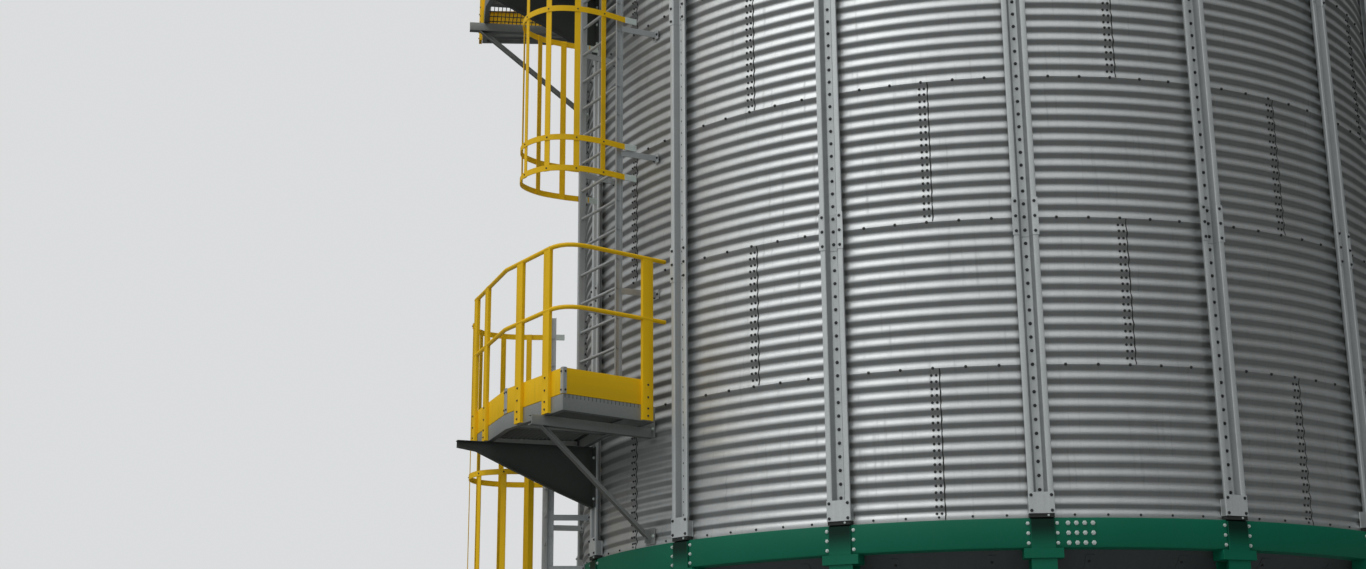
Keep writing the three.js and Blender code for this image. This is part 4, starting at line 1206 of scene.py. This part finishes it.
for number, ladder in LADDERS.items():
    bay = ladder["bay"]
    top = floors[ladder["landing"]] + LADDER_RISE
    rails, rungs, arms, spots = [], [], [], []
    for side in (-1, 1):
        near, far = side * (LADDER_HALF - RAIL_WIDTH / 2 + 0.002), side * (LADDER_HALF + RAIL_WIDTH / 2)
        back, front = LADDER_R - 0.028, LADDER_R + 0.028
        rail = folded([(far, back), (near, back), (near, front), (far, front)], 0.004, 0.004)
        rails.append(upright(rail, bay, ladder["start"], top))
        spread = bay + side * ARM_SPREAD
        for foot in ladder["feet"]:
            face = BEAM_OUTER_R + CLEARANCE if foot < WALL_BASE else WALL_FACE
            arms.append(block((-0.035, 0.035), (face, face + 0.008), (foot - 0.040, foot + 0.040), spread))
            end = stand([side * (LADDER_HALF + 0.006), LADDER_R - RAIL_DEPTH / 2 + 0.012, foot], bay)
            arms.append(straight(oblong(0.008, 0.050), stand([0, face + 0.004, foot], spread), end, UP))
            spots += [(spread, face + 0.008, across, foot + up) for across, up in ARM_BOLTS]
    z = ladder["start"] + RUNG_PITCH
    while z < top - RUNG_PITCH / 2:
        start, end = stand([-LADDER_HALF, LADDER_R, z], bay), stand([LADDER_HALF, LADDER_R, z], bay)
        rungs.append(straight(disc(RUNG_R), start, end, UP))
        z += RUNG_PITCH
    ladder_piece = piece(f"ladder_rails_{number}", rails, ladder_zinc)
    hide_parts(f"ladder_{number}")
    piece(f"ladder_rungs_{number}", rungs, ladder_zinc)
    piece(f"ladder_arms_{number}", arms, ladder_zinc)
    piece(f"ladder_bolts_{number}", [wall_bolts(spots)], bolt_black_and_shade, BOLT_CREASE)

# %% Cage hoops
HOOP_END = 0.257
HOOP = [(HOOP_END, 0.3464), (0.500, 0.378), (0.740, 0.362), (0.950, 0.240), (1.030, 0.0)]
HOOP += [(out, -across) for out, across in HOOP[-2::-1]]
CAGE_FLAT, CAGE_SHEET = 0.049, 0.007
hoop_section = oblong(CAGE_SHEET, CAGE_FLAT)


def smooth_curve(points, steps=6):
    """A smooth curve that passes through every point."""
    points = np.asarray(points, float)
    ends = np.vstack([2 * points[0] - points[1], points, 2 * points[-1] - points[-2]])
    made = []
    for a, b, c, d in zip(ends, ends[1:], ends[2:], ends[3:]):
        for t in np.linspace(0, 1, steps, endpoint=False):
            curved = (2 * a - 5 * b + 4 * c - d) * t ** 2 + (3 * b - a - 3 * c + d) * t ** 3
            made.append(0.5 * (2 * b + (c - a) * t + curved))
    made.append(points[-1])
    return np.array(made)


print("a hoop runs through", len(smooth_curve(HOOP)), "points")

# %% The three cages
for number, cage in LADDERS.items():
    bay = cage["bay"]
    top = floors[cage["landing"]] + CAGE_TOP
    count, middle_point = len(HOOP), (len(HOOP) - 1) // 2
    kept = range(middle_point, count) if cage["open"] > 0 else range(middle_point + 1)
    hoops, straps, crossings, facings, clamps = [], [], [], [], []
    levels = [(z, HOOP) for z in cage["hoops"]] + [(top, [HOOP[i] for i in kept])]
    for z, line in levels:
        path = stand([(across, WALL_MIDDLE_R + out, z) for out, across in smooth_curve(line)], bay)
        hoops.append(level_sweep(hoop_section, path))
    middle = stand([0, WALL_MIDDLE_R + 0.600, 0], bay)
    for i, (out, across) in enumerate(HOOP):
        if i in (0, count - 1):
            continue
        at = stand([across, WALL_MIDDLE_R + out, 0], bay)
        inward = unit(middle - at)
        high = (top if i in kept else cage["hoops"][-1]) + CAGE_FLAT / 2
        low = cage["hoops"][0] - CAGE_FLAT / 2
        place_in = at + inward * (CAGE_SHEET - 0.0005)
        straps.append(straight(oblong(CAGE_FLAT, CAGE_SHEET), place_in + UP * low, place_in + UP * high, inward))
        for z, _ in levels:
            if low < z < high:
                crossings.append(at - inward * CAGE_SHEET / 2 + UP * z)
                facings.append(-inward)
    for z, line in levels:
        for out, across in (line[0], line[-1]):
            if out != HOOP_END:
                continue
            side = math.copysign(1.0, across)
            width = sorted((across - side * 0.002, across + side * 0.010))
            reach = (WALL_MIDDLE_R + out - 0.080, WALL_MIDDLE_R + out + 0.030)
            clamps.append(block(width, reach, (z - 0.026, z + 0.026), bay))
    cage_piece = piece(f"cage_hoops_{number}", hoops, yellow_paint)
    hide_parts(f"cage_{number}")
    piece(f"cage_straps_{number}", straps, yellow_paint)
    piece(f"cage_clamps_{number}", clamps, bright_zinc)
    heads = bolts(crossings, np.array(facings), 0.62)
    piece(f"cage_bolts_{number}", [heads], bolt_black_and_shade, BOLT_CREASE)

# %% [markdown]
# The camera stands where the photograph was taken from: it was worked out from the bolts, seams and
# stiffeners, whose places on the tank are known. The floor is a plain pale sheet, and the light is a soft sky.

# %% Camera
CAMERA_OUT = 16.6641
CAMERA_TOWARDS = -39.943
CAMERA_HEIGHT = 2.2902
LOOK_AZIMUTH = math.radians(149.536)
LOOK_UP = 0.2632
ROLL = 0.0056
SENSOR, PICTURE_WIDTH, FOCAL_PIXELS = 36.0, 1366, 1800.25

forward = np.array([math.cos(LOOK_AZIMUTH) * math.cos(LOOK_UP),
                    math.sin(LOOK_AZIMUTH) * math.cos(LOOK_UP), math.sin(LOOK_UP)])
level = np.array([math.sin(LOOK_AZIMUTH), -math.cos(LOOK_AZIMUTH), 0.0])
raised = np.cross(level, forward)
right = math.cos(ROLL) * level - math.sin(ROLL) * raised
above = math.sin(ROLL) * level + math.cos(ROLL) * raised
eye = AXIS + CAMERA_OUT * radial(CAMERA_TOWARDS) + CAMERA_HEIGHT * UP
lens = bpy.data.cameras.new("camera")
lens.sensor_width, lens.lens = SENSOR, SENSOR * FOCAL_PIXELS / PICTURE_WIDTH
lens.clip_start, lens.clip_end = 0.1, 500.0
camera = bpy.data.objects.new("camera", lens)
placed = np.eye(4)
placed[:3] = np.column_stack([right, above, -forward, eye])
camera.matrix_world = Matrix(placed.tolist())
bpy.context.scene.collection.objects.link(camera)
bpy.context.scene.camera = camera
print("camera at", eye.round(3))

# %% Floor
floor_paint, place = begin("floor")
floor_paint = settle(floor_paint, (0.36, 0.37, 0.37, 1.0), 0.8 + place.noise(0.5) * 0.1, 0.0)
floor_mesh = bpy.data.meshes.new("floor")
REACH = 150.0
corners = [(-REACH, -REACH, 0), (REACH, -REACH, 0), (REACH, REACH, 0), (-REACH, REACH, 0)]
floor_mesh.from_pydata(corners, [], [(0, 1, 2, 3)])
floor_mesh.materials.append(floor_paint)
floor = bpy.data.objects.new("floor", floor_mesh)
floor.location.z = -0.001
bpy.context.scene.collection.objects.link(floor)
print("floor", 2 * REACH, "metres wide")

# %% Light
world = bpy.data.worlds.new("sky")
world.use_nodes = True
bpy.context.scene.world = world
sky_light = world.node_tree.nodes["Background"]
direction = world.node_tree.nodes.new("ShaderNodeTexCoord")
heading = Flow(world.node_tree, direction.outputs["Generated"])
BRIGHT_AZIMUTH, BRIGHT_ELEVATION = -84.0, math.radians(38.0)
brightest = radial(BRIGHT_AZIMUTH) * math.cos(BRIGHT_ELEVATION) + UP * math.sin(BRIGHT_ELEVATION)
towards = sum((heading.part(axis) * float(value) for axis, value in zip("XYZ", brightest)), 0.0)
DIM_SKY, HIGH_SKY, BRIGHT_SKY, BACKDROP = 0.10, 0.24, 0.90, 0.72
lift = 0.44 + heading.part("Z").ramp(0.10, 0.80) * 0.56
brightness = DIM_SKY + heading.part("Z").ramp(0.35, 0.95) * HIGH_SKY + towards.ramp(0.0, 0.95) * BRIGHT_SKY
brightness = brightness * lift
seen = heading.node("ShaderNodeLightPath", None, None, "Is Camera Ray")
brightness = brightness * (1.0 - seen) + seen * BACKDROP
values = {"X": brightness * 0.98, "Y": brightness, "Z": brightness * 1.01}
sky_colour = heading.node("ShaderNodeCombineXYZ", None, values)
world.node_tree.links.new(sky_colour.socket, sky_light.inputs["Color"])
sky_light.inputs["Strength"].default_value = 1.0


def soft_light(name, towards, elevation, distance, size, power):
    """A large square lamp that faces the middle of the silo."""
    lamp = bpy.data.lights.new(name, "AREA")
    lamp.shape, lamp.size, lamp.energy = "SQUARE", size, power
    thing = bpy.data.objects.new(name, lamp)
    back = radial(towards) * math.cos(math.radians(elevation)) + UP * math.sin(math.radians(elevation))
    place = AXIS + UP * 8.0 + back * distance
    first = unit(np.cross(UP, back))
    placed = np.eye(4)
    placed[:3] = np.column_stack([first, np.cross(back, first), back, place])
    thing.matrix_world = Matrix(placed.tolist())
    bpy.context.scene.collection.objects.link(thing)


soft_light("key", -84.0, 51.0, 34.0, 22.0, 2220.0)
bpy.context.scene.view_settings.view_transform = "Standard"
print("sky and one lamp, with", len(world.node_tree.nodes), "nodes in the sky")
